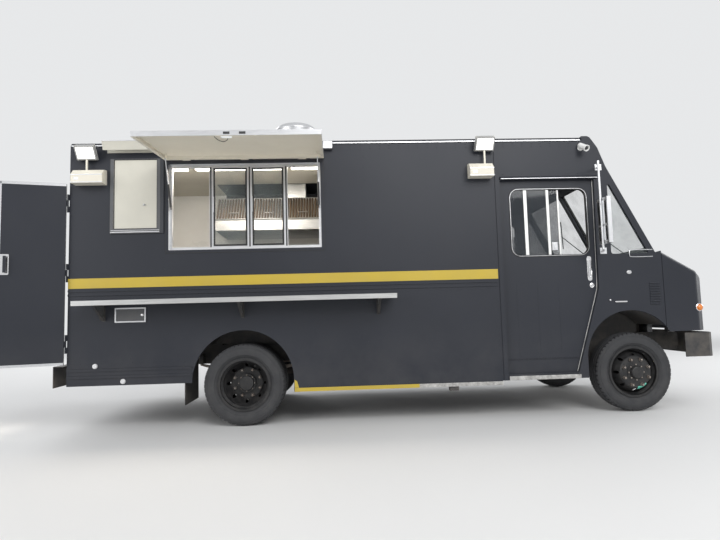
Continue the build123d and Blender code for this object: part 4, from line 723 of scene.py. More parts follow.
def floor_finish(look):
    """A pale floor that turns into the backdrop's colour far from the truck."""
    material = finish("pale floor", look.floor, 0.7, tone=0.015, tone_scale=0.6, bump=0.0)
    tree = material.node_tree
    reach = put(tree, "ShaderNodeVectorMath", {0: place_in(tree)}, operation="LENGTH").outputs["Value"]
    fade = put(tree, "ShaderNodeMapRange", {"Value": reach, "From Min": fade_start, "From Max": fade_end},
               interpolation_type="SMOOTHSTEP")
    share = maths(tree, "MULTIPLY", fade.outputs["Result"], seen_directly(tree))
    glow = put(tree, "ShaderNodeEmission", {"Color": (*look.backdrop, 1)})
    blend = put(tree, "ShaderNodeMixShader", {"Fac": share, 1: tree.nodes["Principled BSDF"].outputs[0],
                                              2: glow.outputs[0]})
    tree.links.new(blend.outputs[0], tree.nodes["Material Output"].inputs["Surface"])
    return material


def studio_world(look):
    """Soft light all round, with the backdrop's colour where the surroundings are seen themselves."""
    world = bpy.data.worlds.new("Studio")
    world.use_nodes = True
    tree = world.node_tree
    light = tree.nodes["Background"]
    light.inputs["Color"].default_value = (0.93, 0.95, 1, 1)
    light.inputs["Strength"].default_value = 0.55
    shown = put(tree, "ShaderNodeBackground", {"Color": (*look.backdrop, 1)})
    pick = put(tree, "ShaderNodeMixShader", {"Fac": seen_directly(tree), 1: light.outputs[0],
                                             2: shown.outputs[0]})
    tree.links.new(pick.outputs[0], tree.nodes["World Output"].inputs["Surface"])
    return world


# Each studio light's place, what it points at, its width, its power in watts and its colour
white = (1, 1, 1)
studio_lights = (("Key", (4.5, -10.5, 7.5), (0.5, -1, 1.2), 7, 800, white),
                 ("Fill", (-8.5, -8, 4.5), (-0.5, -1, 1.4), 7, 380, white),
                 ("Front", (12, 1.5, 5), (3.5, 0, 1.4), 6, 400, white),
                 ("Back", (-6, 10, 7), (0, 1, 1.5), 7, 480, white),
                 ("Kitchen", (-0.2, -0.62, 2.76), (-0.3, -0.4, 0), 0.9, 65, (1.0, 0.91, 0.80)))
fade_start, fade_end, floor_reach = 7, 22, 400
camera_place, heading, pitch, roll = (0.931, -6.647, 1.061), radians(2.65), radians(4.84), radians(1.55)


class OBJECT_OT_foodtruck_stage(bpy.types.Operator):
    """Camera at the photograph's angle, a plain pale floor and soft light"""
    bl_idname = "foodtruck.stage"
    bl_label = "Stage and camera"

    def execute(self, context):
        scene = context.scene
        look = scene.stage_look
        scene.view_settings.view_transform = "Standard"
        camera = bpy.data.cameras.new("Camera")
        camera.lens = look.focal
        camera.sensor_width = 36
        camera.clip_end = 2 * floor_reach
        viewer = bpy.data.objects.new("Camera", camera)
        scene.collection.objects.link(viewer)
        ahead = Vector((sin(heading) * cos(pitch), cos(heading) * cos(pitch), sin(pitch)))
        aim = ahead.to_track_quat("-Z", "Y").to_matrix() @ Matrix.Rotation(-roll, 3, "Z")
        viewer.matrix_world = Matrix.Translation(spot(*camera_place)) @ aim.to_4x4()
        scene.camera = viewer

        floor = bpy.data.meshes.new("Floor")
        corners = [(x * floor_reach, y * floor_reach, 0) for x, y in ((-1, -1), (1, -1), (1, 1), (-1, 1))]
        floor.from_pydata(corners, [], [(0, 1, 2, 3)])
        ground = bpy.data.objects.new("Floor", floor)
        scene.collection.objects.link(ground)
        floor.materials.append(floor_finish(look))

        for name, place, aim_at, size, power, color in studio_lights:
            lamp = bpy.data.lights.new(name, "AREA")
            lamp.size = size
            lamp.energy = power
            lamp.color = color
            item = bpy.data.objects.new(name, lamp)
            toward = (Vector(aim_at) - Vector(place)).to_track_quat("-Z", "Y")
            item.matrix_world = Matrix.Translation(spot(*place)) @ toward.to_matrix().to_4x4()
            scene.collection.objects.link(item)
        scene.world = studio_world(look)
        return {"FINISHED"}


class OBJECT_OT_foodtruck_stripes(bpy.types.Operator):
    """Yellow band round the body, and the strips along its sills"""
    bl_idname = "foodtruck.stripes"
    bl_label = "Stripes"

    def execute(self, context):
        look = context.scene.coachwork
        low, high = look.stripe_low, look.stripe_low + look.stripe_width
        film, strip = (skin_y - 0.0012, skin_y + 0.001), (skin_y - 0.0075, skin_y)
        strip_height, worn_from = (0.329, 0.366), 1.75
        band = Shape().block((tail_x - 0.001, body_front), film, (low, high)).both_sides()
        band.block((tail_x - 0.0012, tail_x + 0.001), (skin_y + 0.6, wall_y), (low, high))
        band.piece("stripe_band", stripe_paint(), bevel=0)
        tip = [(0.505, 0.327), (0.56, 0.327), (0.53, 0.43), (0.505, 0.447)]
        Shape().block((0.505, worn_from), strip, strip_height).prism(tip, "side", *film).both_sides() \
            .piece("skirt_strip", stripe_paint(), bevel=0.001)
        Shape().block((worn_from, body_front), strip, strip_height).both_sides() \
            .piece("skirt_strip_worn", worn_strip(), bevel=0.001)
        sill = rounded(2.667, 3.405, 0.3715, 0.412, 0.003, 2)
        Shape().prism(sill, "side", skin_y - 0.0112, skin_y).both_sides() \
            .piece("cab_sill_plates", worn_strip(), bevel=0.001)
        return {"FINISHED"}


def rivet_head(radius):
    """A low dome whose axis is local Y, its foot at the frame's origin."""
    dome = Shape(own_frame=True)
    dome.lathe([(radius, 0), (radius * 0.8, radius * 0.38), (radius * 0.35, radius * 0.56), (0, radius * 0.58),
                (0, 0)], (0, 0, 0), (0, -1, 0), steps=8)
    return dome


class OBJECT_OT_foodtruck_rivets(bpy.types.Operator):
    """Rows of rivets where the body's sheets meet its frame"""
    bl_idname = "foodtruck.rivets"
    bl_label = "Rivets"

    def execute(self, context):
        look = context.scene.coachwork
        pitch, rib_pitch, wall_foot = look.rivet_pitch, 0.114, 1.56
        face = skin_y - 0.0003

        def across(x_low, x_high, z):
            return (x_low, face, z), (pitch, 0, 0), int((x_high - x_low) / pitch) + 1

        def upright(x, z_low, z_high, step=pitch):
            return (x, face, z_low), (0, 0, step), int((z_high - z_low) / step) + 1

        right = [across(tail_x + 0.03, 3.5, 2.815), across(tail_x + 0.03, 3.5, 2.785),
                 across(tail_x + 0.03, 2.55, 1.30), across(tail_x + 0.03, -0.52, 0.66),
                 across(0.55, 2.55, 0.39), across(2.7, 3.6, 2.49)]
        right += [upright(x, wall_foot, 2.7, rib_pitch) for x in (-1.69, 1.25, 1.9, 2.58, 2.635)]
        right += [upright(x, 0.7, 1.24) for x in (-1.69, -1.1, 0.62, 1.25, 1.9, 2.58, 2.635)]
        right += [upright(-0.765, 1.58, 1.74, 0.08), upright(0.835, 1.58, 1.74, 0.08)]
        left = [((x, wall_y + 0.0003, z), step, count) for (x, _, z), step, count in right]
        left += [((x, wall_y + 0.0003, wall_foot), (0, 0, rib_pitch), 11) for x in (-1.1, -0.5, 0.1, 0.65)]
        meshes = [rows(rivet_head(look.rivet_radius), right, coach_paint()),
                  rows(rivet_head(look.rivet_radius).swing((0, 0, 0), "Z", 180), left, coach_paint())]
        finished("wall_rivets", joined(meshes), coach_paint())
        return {"FINISHED"}


def tyre_section(groove):
    """Half of a tyre's section, from the bead out to the crown, as (radius, distance from the middle plane)."""
    deep = tyre_radius - groove
    return [(0.2482, 0.0790), (0.2530, 0.0838), (0.2680, 0.0848), (0.2735, 0.0900), (0.2900, 0.1035),
            (0.2960, 0.1072), (0.2975, 0.1092), (0.3005, 0.1098), (0.3020, 0.1090), (0.3220, 0.1120),
            (0.3450, 0.1112), (0.3600, 0.1082), (0.3612, 0.1096), (0.3640, 0.1092), (0.3652, 0.1066),
            (0.3840, 0.1015), (0.3885, 0.0985), (0.3900, 0.0620), (0.3915, 0.0545), (0.4025, 0.0530),
            (0.4040, 0.0270), (deep, 0.0258), (deep, 0.0188), (0.4050, 0.0175)]


def tyre_mesh(centre, out, pitches, groove):
    """One tyre: a turned carcass, with shoulder blocks and sidewall ribs round it."""
    half = tyre_section(groove)
    profile = half + [(tyre_radius, 0.0)] + [(r, -h) for r, h in reversed(half)]
    carcass = Shape().lathe(profile, centre, out, steps=72).mesh()
    width = 2 * pi * tyre_radius / pitches
    block_section = [(0.385, 0.0988), (0.3975, 0.0900), (0.4015, 0.0640), (0.386, 0.0632)]
    rib_section = [(0.367, 0.1056), (0.3835, 0.1012), (0.3835, 0.1034), (0.367, 0.1078)]
    block, rib = Shape(own_frame=True), Shape(own_frame=True)
    for side in (1, -1):
        lean, half = 0.004 * side, 0.39 * width
        block.prism([(r, h * side) for r, h in block_section], "side", -half + lean, half + lean)
        rib.prism([(r, h * side) for r, h in rib_section], "side", -0.0035, 0.0035)
    return joined([carcass, ring(block, pitches, black_rubber(), centre, out),
                   ring(rib, pitches * 2, black_rubber(), centre, out)])


class OBJECT_OT_foodtruck_tyres(bpy.types.Operator):
    """Treaded tyres on the six wheels"""
    bl_idname = "foodtruck.tyres"
    bl_label = "Tyres"

    def execute(self, context):
        look = context.scene.tyre_look
        for side, way in (("right", -1), ("left", 1)):
            out = (0, way, 0)
            front = tyre_mesh((wheelbase, way * front_wheel_y, tyre_radius), out, look.pitches, look.groove)
            finished(f"front_tread_{side}", front, tyre_rubber(), f"front_wheel_{side}",
                     replaces=[f"front_tyre_{side}"])
            twins = [tyre_mesh((0, way * y, tyre_radius), out, look.pitches, look.groove)
                     for y in (outer_twin_y, inner_twin_y)]
            finished(f"rear_treads_{side}", joined(twins), tyre_rubber(), f"rear_wheels_{side}",
                     replaces=[f"rear_tyres_{side}"])
        return {"FINISHED"}


def hex_nut(radius, height, stud=0.0):
    nut = Shape(own_frame=True)
    corners = [(radius * cos(radians(30 + 60 * i)), radius * sin(radians(30 + 60 * i))) for i in range(6)]
    nut.prism(corners, "top", 0, height)
    if stud:
        bolt, tip = radius * 0.5, height + stud
        nut.lathe([(bolt, height), (bolt, tip), (0, tip + 0.002), (0, height)], (0, 0, 0), (0, 0, 1), steps=10)
    return nut


def standing(shape, radius, angle, lift):
    """Moves a small shape out to its place on a ring about the Z axis."""
    return shape.place(Matrix.Rotation(radians(angle), 4, "Z") @ Matrix.Translation((radius, 0, lift)))


# Each wheel's place, and how far the faces of its disc and hub and its valve's foot stand out of its middle
wheels = (("front", "front_wheel", wheelbase, front_wheel_y, 0.130, 0.136, 0.07),
          ("rear", "rear_wheels", 0.0, outer_twin_y, -0.119, -0.060, 0.04))


class OBJECT_OT_foodtruck_wheels(bpy.types.Operator):
    """Wheel nuts, hub bolts, valves, and small labels on the front wheels whose mint colour is a painted
    reflection
    """
    bl_idname = "foodtruck.wheels"
    bl_label = "Wheel fittings"

    def execute(self, context):
        steel = dull_steel()
        stem = [(0.0045, 0), (0.0045, 0.03), (0.006, 0.031), (0.006, 0.042), (0, 0.043), (0, 0)]
        nut_circle, bolt_circle, valve_circle = 0.1375, 0.0785, 0.212
        patch = [(0.1463, 0.1305), (0.1545, 0.1305), (0.1668, 0.1187), (0.178, 0.0945), (0.1786, 0.0962),
                 (0.1674, 0.1203), (0.1550, 0.1317), (0.1463, 0.1317)]
        for side, way, patch_start in (("right", -1, -86), ("left", 1, 49)):
            out = (0, way, 0)
            for kind, wheel, x, y, face, hub_face, foot in wheels:
                centre, body = (x, way * y, tyre_radius), f"{wheel}_{side}"
                nut = standing(hex_nut(0.0178, 0.0215, 0.012), nut_circle, 22.5, face)
                nuts = ring(nut, 8, steel, centre, out)
                finished(f"{kind}_wheel_nuts_{side}", nuts, steel, body)
                bolt = standing(hex_nut(0.0075, 0.007), bolt_circle, 0, hub_face)
                bolts = ring(bolt, 8, steel, centre, out)
                finished(f"{kind}_hub_bolts_{side}", bolts, steel, body)
                valve = standing(Shape(own_frame=True).lathe(stem, (0, 0, 0), (0, 0, 1), steps=10), valve_circle,
                                 60, foot)
                valve.place(Matrix.Translation(spot(*centre)) @ turned_to(out)) \
                    .piece(f"{kind}_valve_{side}", black_rubber(), body, slot="tyre", bevel=0)
            centre = (wheelbase, way * front_wheel_y, tyre_radius)
            # The label on the front wheel's disc, its mint colour a painted reflection
            Shape().lathe(patch, centre, out, steps=10, start=patch_start, span=37) \
                .piece(f"wheel_reflector_{side}", mint_label_painted_reflection(), f"front_wheel_{side}", bevel=0)
        return {"FINISHED"}


def box_ring(x, z, width, y, radius=0.004):
    """A frame in the side view: its outer limits, the width of its bars, and its depth."""
    outer = rounded(x[0], x[1], z[0], z[1], radius + width * 0.3)
    inner = rounded(x[0] + width, x[1] - width, z[0] + width, z[1] - width, radius)
    return Shape().ring(outer, inner, "side", *y)


class OBJECT_OT_foodtruck_serving_window(bpy.types.Operator):
    """Sash pulls, gaskets, tracks, outer trim, seal and lining of the serving window"""
    bl_idname = "foodtruck.serving_window"
    bl_label = "Serving window"

    def execute(self, context):
        metal, dark = satin_aluminium(), black_rubber()
        low = window_low + 0.029
        rear_sash, front_sash = inside_y + 0.006, inside_y + 0.008
        pulls = Shape()
        for x, y in ((mullions[0] + 0.022, rear_sash), (mullions[1] + 0.022, front_sash)):
            pulls.block((x, x + 0.008), (y - 0.006, y), (low + 0.36, low + 0.52))
        pulls.piece("sash_pulls", metal)
        box_ring((window_rear - 0.026, window_front + 0.026), (window_low - 0.026, window_high + 0.024), 0.028,
                 (skin_y - 0.003, skin_y + 0.002)) \
            .piece("window_trim", coach_paint(), bevel=0.0008)
        gaskets = Shape()
        for a, b, y in ((mullions[0], mullions[1], rear_sash), (mullions[1], mullions[2], front_sash)):
            outer = rounded(a + 0.0255, b - 0.0255, low + 0.0095, window_high - 0.0385, 0.004)
            inner = rounded(a + 0.0425, b - 0.0425, low + 0.0275, window_high - 0.0565, 0.003)
            gaskets.ring(outer, inner, "side", y - 0.0015, y + 0.001)
        depth, height = (inside_y + 0.0015, inside_y + 0.005), (low, window_high - 0.029)
        for x in mullions:
            gaskets.block((x - 0.007, x + 0.007), depth, height)
        gaskets.piece("window_gaskets", dark, bevel=0)
        box_ring((window_rear - 0.030, window_front + 0.030), (window_low - 0.030, window_high + 0.028), 0.0045,
                 (skin_y - 0.0045, skin_y + 0.001)) \
            .piece("window_seal", dark, bevel=0)
        tracks = Shape()
        for z in (window_low + 0.0285, window_high - 0.0335):
            for y in (inside_y + 0.002, inside_y + 0.022, inside_y + 0.034):
                tracks.block((window_rear + 0.03, window_front - 0.03), (y, y + 0.002), (z, z + 0.005))
        tracks.piece("window_tracks", metal, bevel=0)
        lining, wall = Shape(), (skin_y, inside_y)
        for z in (window_low - 0.0005, window_high - 0.0015):
            lining.block((window_rear, window_front), wall, (z, z + 0.002))
        for x in (window_rear, window_front):
            lining.block((x - 0.001, x + 0.001), wall, (window_low, window_high))
        lining.piece("window_lining", metal, bevel=0)
        return {"FINISHED"}


class OBJECT_OT_foodtruck_hatch_trim(bpy.types.Operator):
    """Edge angles, outer skin, latches, underside lamp and its wire on the raised hatch"""
    bl_idname = "foodtruck.hatch_trim"
    bl_label = "Hatch trim"

    def execute(self, context):
        x, z = (window_rear - 0.036, window_front + 0.036), (hatch_hinge.z - 0.925, hatch_hinge.z + 0.004)
        outer_y, inner, foot = hatch_hinge.y - 0.045, hatch_hinge.y, z[0]

        def inset(by):
            return x[0] + by, x[1] - by, z[0] + by, z[1] - by

        def raised(shape):
            return shape.swing((0, hatch_hinge.y, hatch_hinge.z), "X", hatch_open)

        edge = Shape().ring(rounded(*x, *z, 0.004), rounded(*inset(0.028), 0.003), "side", outer_y - 0.001,
                            outer_y + 0.001)
        for end in x:
            edge.block((end - 0.001, end + 0.001), (outer_y, inner), z)
        edge.block(x, (outer_y, inner), (foot - 0.001, foot + 0.001))
        raised(edge).piece("hatch_edging", satin_aluminium(), "hatch", bevel=0.0006)
        skin = inset(0.027)
        raised(Shape().block(skin[:2], (outer_y - 0.0006, outer_y + 0.001), skin[2:])) \
            .piece("hatch_skin", coach_paint(), "hatch", bevel=0)
        slots = Shape()
        for middle in (0.033, 0.168):
            slots.block((middle - 0.028, middle + 0.028), (outer_y + 0.012, outer_y + 0.034),
                        (foot - 0.0016, foot + 0.002))
        raised(slots).piece("hatch_latch_slots", black_plastic(), "hatch", bevel=0.001)
        lamp = Shape().prism(rounded(-0.025, 0.070, foot + 0.030, foot + 0.085, 0.02), "side", inner - 0.032,
                             inner + 0.004)
        raised(lamp).piece("hatch_lamp", lens("cool lamp lens", (0.85, 0.87, 0.9), 0.5), "hatch",
                           bevel=0.006, segments=3)
        wire = [(a, inner - drop, foot + b) for a, drop, b in (
            (-0.081, 0.029, 0.02), (-0.092, 0.020, 0.12), (-0.075, 0.012, 0.20), (-0.045, 0.011, 0.25),
            (-0.005, 0.014, 0.22), (0.018, 0.020, 0.15), (0.022, 0.02, 0.08))]
        raised(Shape().tube(smooth_line(wire), 0.0028, steps=8)) \
            .piece("hatch_lamp_wire", black_plastic(), "hatch", bevel=0)
        return {"FINISHED"}


def smooth_line(points, parts=6):
    """A curve through given points, for a fixed wire or bent bar."""
    made, points = [], [Vector(point) for point in points]
    for i in range(len(points) - 1):
        p0, p1, p2, p3 = points[max(i - 1, 0)], points[i], points[i + 1], points[min(i + 2, len(points) - 1)]
        for j in range(parts):
            t = j / parts
            made.append(0.5 * ((2 * p1) + (p2 - p0) * t + (2 * p0 - 5 * p1 + 4 * p2 - p3) * t * t
                               + (3 * p1 - p0 - 3 * p2 + p3) * t * t * t))
    return made + [points[-1]]


class OBJECT_OT_foodtruck_side_window(bpy.types.Operator):
    """Dark frame, seal, sill and knob of the small cream side panel, and its visor's edge"""
    bl_idname = "foodtruck.side_window"
    bl_label = "Side window"

    def execute(self, context):
        metal = satin_aluminium()
        low, high = box_of("side_window")
        outer, opening = (-1.308, -0.813, 1.943, 2.706), (-1.274, -0.843, 1.989, 2.700)
        y = skin_y - 0.0003
        Shape().ring(rounded(*outer, 0.006), rounded(*opening, 0.006), "side", y - 0.0135, y + 0.0002) \
            .piece("side_window_frame", grey_frame(), bevel=0.0012)
        box_ring(opening[:2], opening[2:], 0.006, (y - 0.0075, y - 0.003)) \
            .piece("side_window_seal", black_rubber(), bevel=0)
        sill = Shape().block((-1.300, -0.820), (y - 0.020, y - 0.012), (1.952, 1.962))
        sill.block((-1.300, -0.820), (y - 0.016, y - 0.012), (1.972, 1.978))
        sill.piece("side_window_sill", metal)
        knob = [(0.012, 0), (0.012, 0.006), (0.008, 0.010), (0.010, 0.018), (0.007, 0.024), (0, 0.024), (0, 0)]
        Shape().lathe(knob, (-0.972, y - 0.003, 2.233), (0, -1, 0), steps=20) \
            .piece("side_window_knob", metal, bevel=0)
        Shape().block((low.x + 0.001, high.x - 0.001), (skin_y - 0.1505, skin_y - 0.1470), (2.848, 2.8565)) \
            .piece("visor_edge", metal, bevel=0.0006)
        return {"FINISHED"}


class OBJECT_OT_foodtruck_shelf(bpy.types.Operator):
    """Rolled front edge, hinge and bracket flanges of the serving shelf"""
    bl_idname = "foodtruck.shelf"
    bl_label = "Serving shelf"

    def execute(self, context):
        low, high = box_of("serving_shelf")
        front, top = low.y, high.z
        steel = brushed_steel()
        edge = [(x, front + 0.004, top - 0.043) for x in (low.x + 0.003, high.x - 0.003)]
        bead = Shape().tube(edge, 0.0038, steps=10)
        groove = (front - 0.0004, front + 0.0015)
        bead.block((low.x + 0.004, high.x - 0.004), groove, (top - 0.020, top - 0.018))
        bead.piece("shelf_rolled_edge", steel, bevel=0)
        knuckle, pitch = Shape(own_frame=True).tube([(0, 0, 0), (0.032, 0, 0)], 0.005, steps=8), 0.036
        start, count = (low.x + 0.006, skin_y - 0.006, top - 0.005), int((high.x - low.x) / pitch)
        finished("shelf_hinge", rows(knuckle, [(start, (pitch, 0, 0), count)], steel), steel)
        flanges = Shape()
        for x in (-1.36, 0.0, 1.36):
            flanges.block((x - 0.018, x + 0.018), (skin_y - 0.0035, skin_y - 0.0003), (top - 0.20, top - 0.032))
            corners = [(skin_y - 0.020, top - 0.188), (skin_y - 0.260, top - 0.032),
                       (skin_y - 0.260, top - 0.036), (skin_y - 0.020, top - 0.192)]
            flanges.prism(corners, "front", x - 0.014, x + 0.014)
        flanges.piece("shelf_bracket_flanges", black_enamel(), bevel=0.0008)
        return {"FINISHED"}


class OBJECT_OT_foodtruck_lamps(bpy.types.Operator):
    """Flood lamps' lenses, bezels and cooling fins, their boxes' lids, and the small boxes on the wall"""
    bl_idname = "foodtruck.lamps"
    bl_label = "Flood lamps"

    def execute(self, context):
        metal, casting = satin_aluminium(), cast_lamp()
        y, tilt = skin_y - 0.0803, Matrix.Rotation(radians(lamp_tilt), 4, "X")
        lens_x, lens_z = 0.083, 0.058
        fin_pitch, fin_count = 0.0125, 14
        lenses, bezels, plates = Shape(own_frame=True), Shape(own_frame=True), []
        for x, z in lamp_places:
            move = Matrix.Translation(spot(x, y, z)) @ tilt
            plate = Shape(own_frame=True).block((-lens_x, lens_x), (-0.0245, -0.0225), (-lens_z, lens_z))
            lenses.add(plate.place(move))
            outer = rounded(-0.096, 0.096, -0.071, 0.071, 0.008)
            inner = rounded(-lens_x, lens_x, -lens_z, lens_z, 0.004)
            bezels.add(Shape(own_frame=True).ring(outer, inner, "side", -0.029, 0.024).place(move))
            fin = Shape(own_frame=True).block((-0.0012, 0.0012), (0.0225, 0.040), (-0.062, 0.062))
            row = rows(fin, [((-6.5 * fin_pitch, 0, 0), (fin_pitch, 0, 0), fin_count)], casting, own_frame=True)
            row.transform(move)
            plates.append(row)
            bracket = Shape(own_frame=True)
            for end in (-0.101, 0.0985):
                bracket.block((end, end + 0.0025), (-0.012, 0.012), (-0.08, 0.012))
            bracket.block((-0.101, 0.101), (-0.012, 0.012), (-0.082, -0.0795))
            bezels.add(bracket.place(move))
        lenses.piece("flood_lenses", lens("flood lamp lens", (1.0, 0.98, 0.92), 3.0),
                     bevel=0)
        bezels.piece("flood_bezels", casting, bevel=0.0015)
        finished("flood_fins", joined(plates), casting)
        lids = Shape()
        for rear, front, low in ((-1.650, -1.345, 2.44), (2.330, 2.575, 2.45)):
            for foot, head in ((low + 0.004, low + 0.012), (low + 0.078, low + 0.088)):
                lids.block((rear - 0.002, front + 0.002), (skin_y - 0.1225, skin_y - 0.118), (foot, head))
            lids.block((rear + 0.03, rear + 0.075), (skin_y - 0.1215, skin_y - 0.119), (low + 0.03, low + 0.06))
        lids.piece("lamp_box_lids", metal, bevel=0.001)
        Shape().prism(rounded(0.835, 0.935, 2.772, 2.858, 0.008, 3), "side", skin_y - 0.052, skin_y) \
            .piece("junction_box", grey_frame(), bevel=0.003)
        Shape().prism(rounded(0.839, 0.931, 2.776, 2.854, 0.006, 3), "side", skin_y - 0.057, skin_y - 0.051) \
            .piece("junction_box_lid", metal, bevel=0.0015)
        mount = [(0.030, 0), (0.030, 0.006), (0.024, 0.012), (0.012, 0.016), (0.010, 0.050), (0, 0.050), (0, 0)]
        barrel = [(0.026, -0.055), (0.030, -0.050), (0.030, 0.045), (0.034, 0.048), (0.034, 0.060),
                  (0.028, 0.060), (0.026, 0.050), (0, 0.050), (0, -0.055)]
        eye = [(0.020, 0.050), (0.020, 0.053), (0.012, 0.057), (0, 0.058), (0, 0.050)]
        head, aim = (3.545, skin_y - 0.062, 2.755), (0.25, -0.7, -0.45)
        camera = Shape().lathe(mount, (3.541, skin_y, 2.761), (0, -1, 0), steps=24)
        camera.lathe(barrel, head, aim, steps=24)
        camera.piece("wall_camera", white_plastic(), bevel=0.0008)
        Shape().lathe(eye, head, aim, steps=20) \
            .piece("wall_camera_lens", black_plastic(), bevel=0)
        return {"FINISHED"}


class OBJECT_OT_foodtruck_cab(bpy.types.Operator):
    """Cab doors' seals, sliding sashes, pulls and locks, and the catches, trims and rails round the cab"""
    bl_idname = "foodtruck.cab"
    bl_label = "Cab fittings"

    def execute(self, context):
        for side, other_side in (("right", False), ("left", True)):
            for name, (shape, maker, bevel) in door_fittings().items():
                if other_side:
                    shape.place(Matrix.Translation((0, 2 * origin.y, 0)) @ Matrix.Scale(-1, 4, (0, 1, 0)))
                shape.piece(f"{name}_{side}", maker(), f"cab_door_{side}", bevel=bevel)
        cab_fittings()
        return {"FINISHED"}


def door_fittings():
    """What a cab door carries, drawn on the right: each shape with its finish and its bevel."""
    face = inside_y + 0.005
    sash_z, rear_sash, front_sash = (1.642, 2.330), (face + 0.004, face + 0.014), (face + 0.016, face + 0.026)
    seal = Shape().ring(rounded(2.762, 3.603, 1.621, 2.351, 0.103, 8),
                        rounded(2.783, 3.582, 1.642, 2.330, 0.082, 8), "side", face - 0.0035, face + 0.033)
    bead = Shape().ring(rounded(2.772, 3.593, 1.631, 2.341, 0.093, 8),
                        rounded(2.776, 3.589, 1.635, 2.337, 0.089, 8), "side", face - 0.0045, face - 0.003)
    bars = Shape().block((2.921, 2.955), rear_sash, (1.644, 2.328))
    bars.block((3.162, 3.190), rear_sash, sash_z).block((3.284, 3.300), front_sash, sash_z)
    latch = Shape().block((3.205, 3.262), (face + 0.008, face + 0.018), (1.690, 1.775))
    latch.block((3.222, 3.245), (face - 0.002, face + 0.009), (1.705, 1.760))
    pull = Shape().prism(rounded(3.556, 3.604, 1.360, 1.618, 0.022, 6), "side", face - 0.004, face)
    pull.ring(rounded(3.563, 3.597, 1.395, 1.585, 0.016, 6), rounded(3.570, 3.590, 1.404, 1.576, 0.009, 6),
              "side", face - 0.017, face - 0.003)
    pull.block((3.572, 3.588), (face - 0.014, face - 0.003), (1.470, 1.510))
    lock_place, out = (3.597, face, 1.312), (0, -1, 0)
    collar = [(0.027, 0), (0.027, 0.004), (0.022, 0.007), (0.017, 0.007), (0.016, 0.003), (0, 0.003), (0, 0)]
    lock = Shape().lathe(collar, lock_place, out, steps=28)
    lock.lathe([(0.011, 0.003), (0.011, 0.009), (0, 0.010), (0, 0.003)], lock_place, out, steps=20)
    front_edge = [(x, face + 0.002, z) for x, z in ((3.664, 2.425), (3.660, 2.0), (3.653, 1.42), (3.645, 1.28),
                                                    (3.615, 1.17), (3.391, 0.436))]
    ribs = Shape()
    for z in (0.566, 0.576):
        ribs.block((2.670, 3.415), (face - 0.0035, face), (z, z + 0.004))
    for x in (2.80, 3.02, 3.24):
        ribs.block((x - 0.001, x + 0.001), (face - 0.001, face), (0.60, 1.36))
    return {"door_window_seal": (seal, black_rubber, 0.002), "door_window_bead": (bead, satin_aluminium, 0),
            "door_sash_bars": (bars, bright_strip, 0.002), "door_sash_latch": (latch, satin_aluminium, 0.002),
            "door_pull": (pull, chrome, 0.0015), "door_lock": (lock, chrome, 0.0006),
            "door_front_seal": (Shape().tube(front_edge, 0.006, steps=8), worn_strip, 0),
            "door_swages": (ribs, coach_paint, 0.001)}


def cab_fittings():
    """Small parts on both sides of the cab."""
    middle_x, middle_z = 3.977, 1.438
    turns = [2 * pi * i / 24 for i in range(24)]
    oval = [(middle_x + 0.026 * cos(turn), middle_z + 0.019 * sin(turn)) for turn in turns]
    small = [(middle_x + (a - middle_x) * 0.6, middle_z + (b - middle_z) * 0.6) for a, b in oval]
    catch = Shape().prism(oval, "side", skin_y - 0.004, skin_y)
    catch.prism(small, "side", skin_y - 0.008, skin_y - 0.004)
    button = [(0.013, 0), (0.013, 0.004), (0.009, 0.012), (0, 0.013), (0, 0)]
    catch.lathe(button, (3.756, skin_y, 1.154), (0, -1, 0), 20)
    catch.prism(rounded(3.808, 3.934, 1.128, 1.142, 0.006), "side", skin_y - 0.012, skin_y - 0.004)
    for x in (3.815, 3.915):
        catch.block((x, x + 0.012), (skin_y - 0.006, skin_y), (1.130, 1.140))
    catch.both_sides().piece("cab_catches", chrome(), bevel=0.0012)
    loop = [(x, skin_y - lift, z) for x, lift, z in (
        (4.24, 0.002, 1.668), (4.02, 0.004, 1.668), (3.99, 0.010, 1.650), (3.99, 0.010, 1.615),
        (4.02, 0.004, 1.597), (4.24, 0.002, 1.597))]
    Shape().tube(smooth_line(loop), 0.0045, steps=8).both_sides() \
        .piece("cab_side_trim", satin_aluminium(), bevel=0)
    rail = Shape().block((2.670, 3.698), (skin_y - 0.0275, skin_y - 0.024), (2.4355, 2.4425))
    rail.block((tail_x + 0.012, 3.54), (skin_y - 0.009, skin_y), (2.838, 2.842))
    rail.block((tail_x + 0.012, 3.54), (skin_y - 0.009, skin_y - 0.006), (2.838, 2.853))
    rail.both_sides().piece("drip_rails", satin_aluminium(), bevel=0.0008)


def evaluated_mesh(item):
    """The object's mesh as its modifiers leave it. The object itself goes."""
    mesh = bpy.data.meshes.new_from_object(item.evaluated_get(bpy.context.evaluated_depsgraph_get()))
    used = item.data
    bpy.data.objects.remove(item)
    bpy.data.meshes.remove(used)
    return mesh


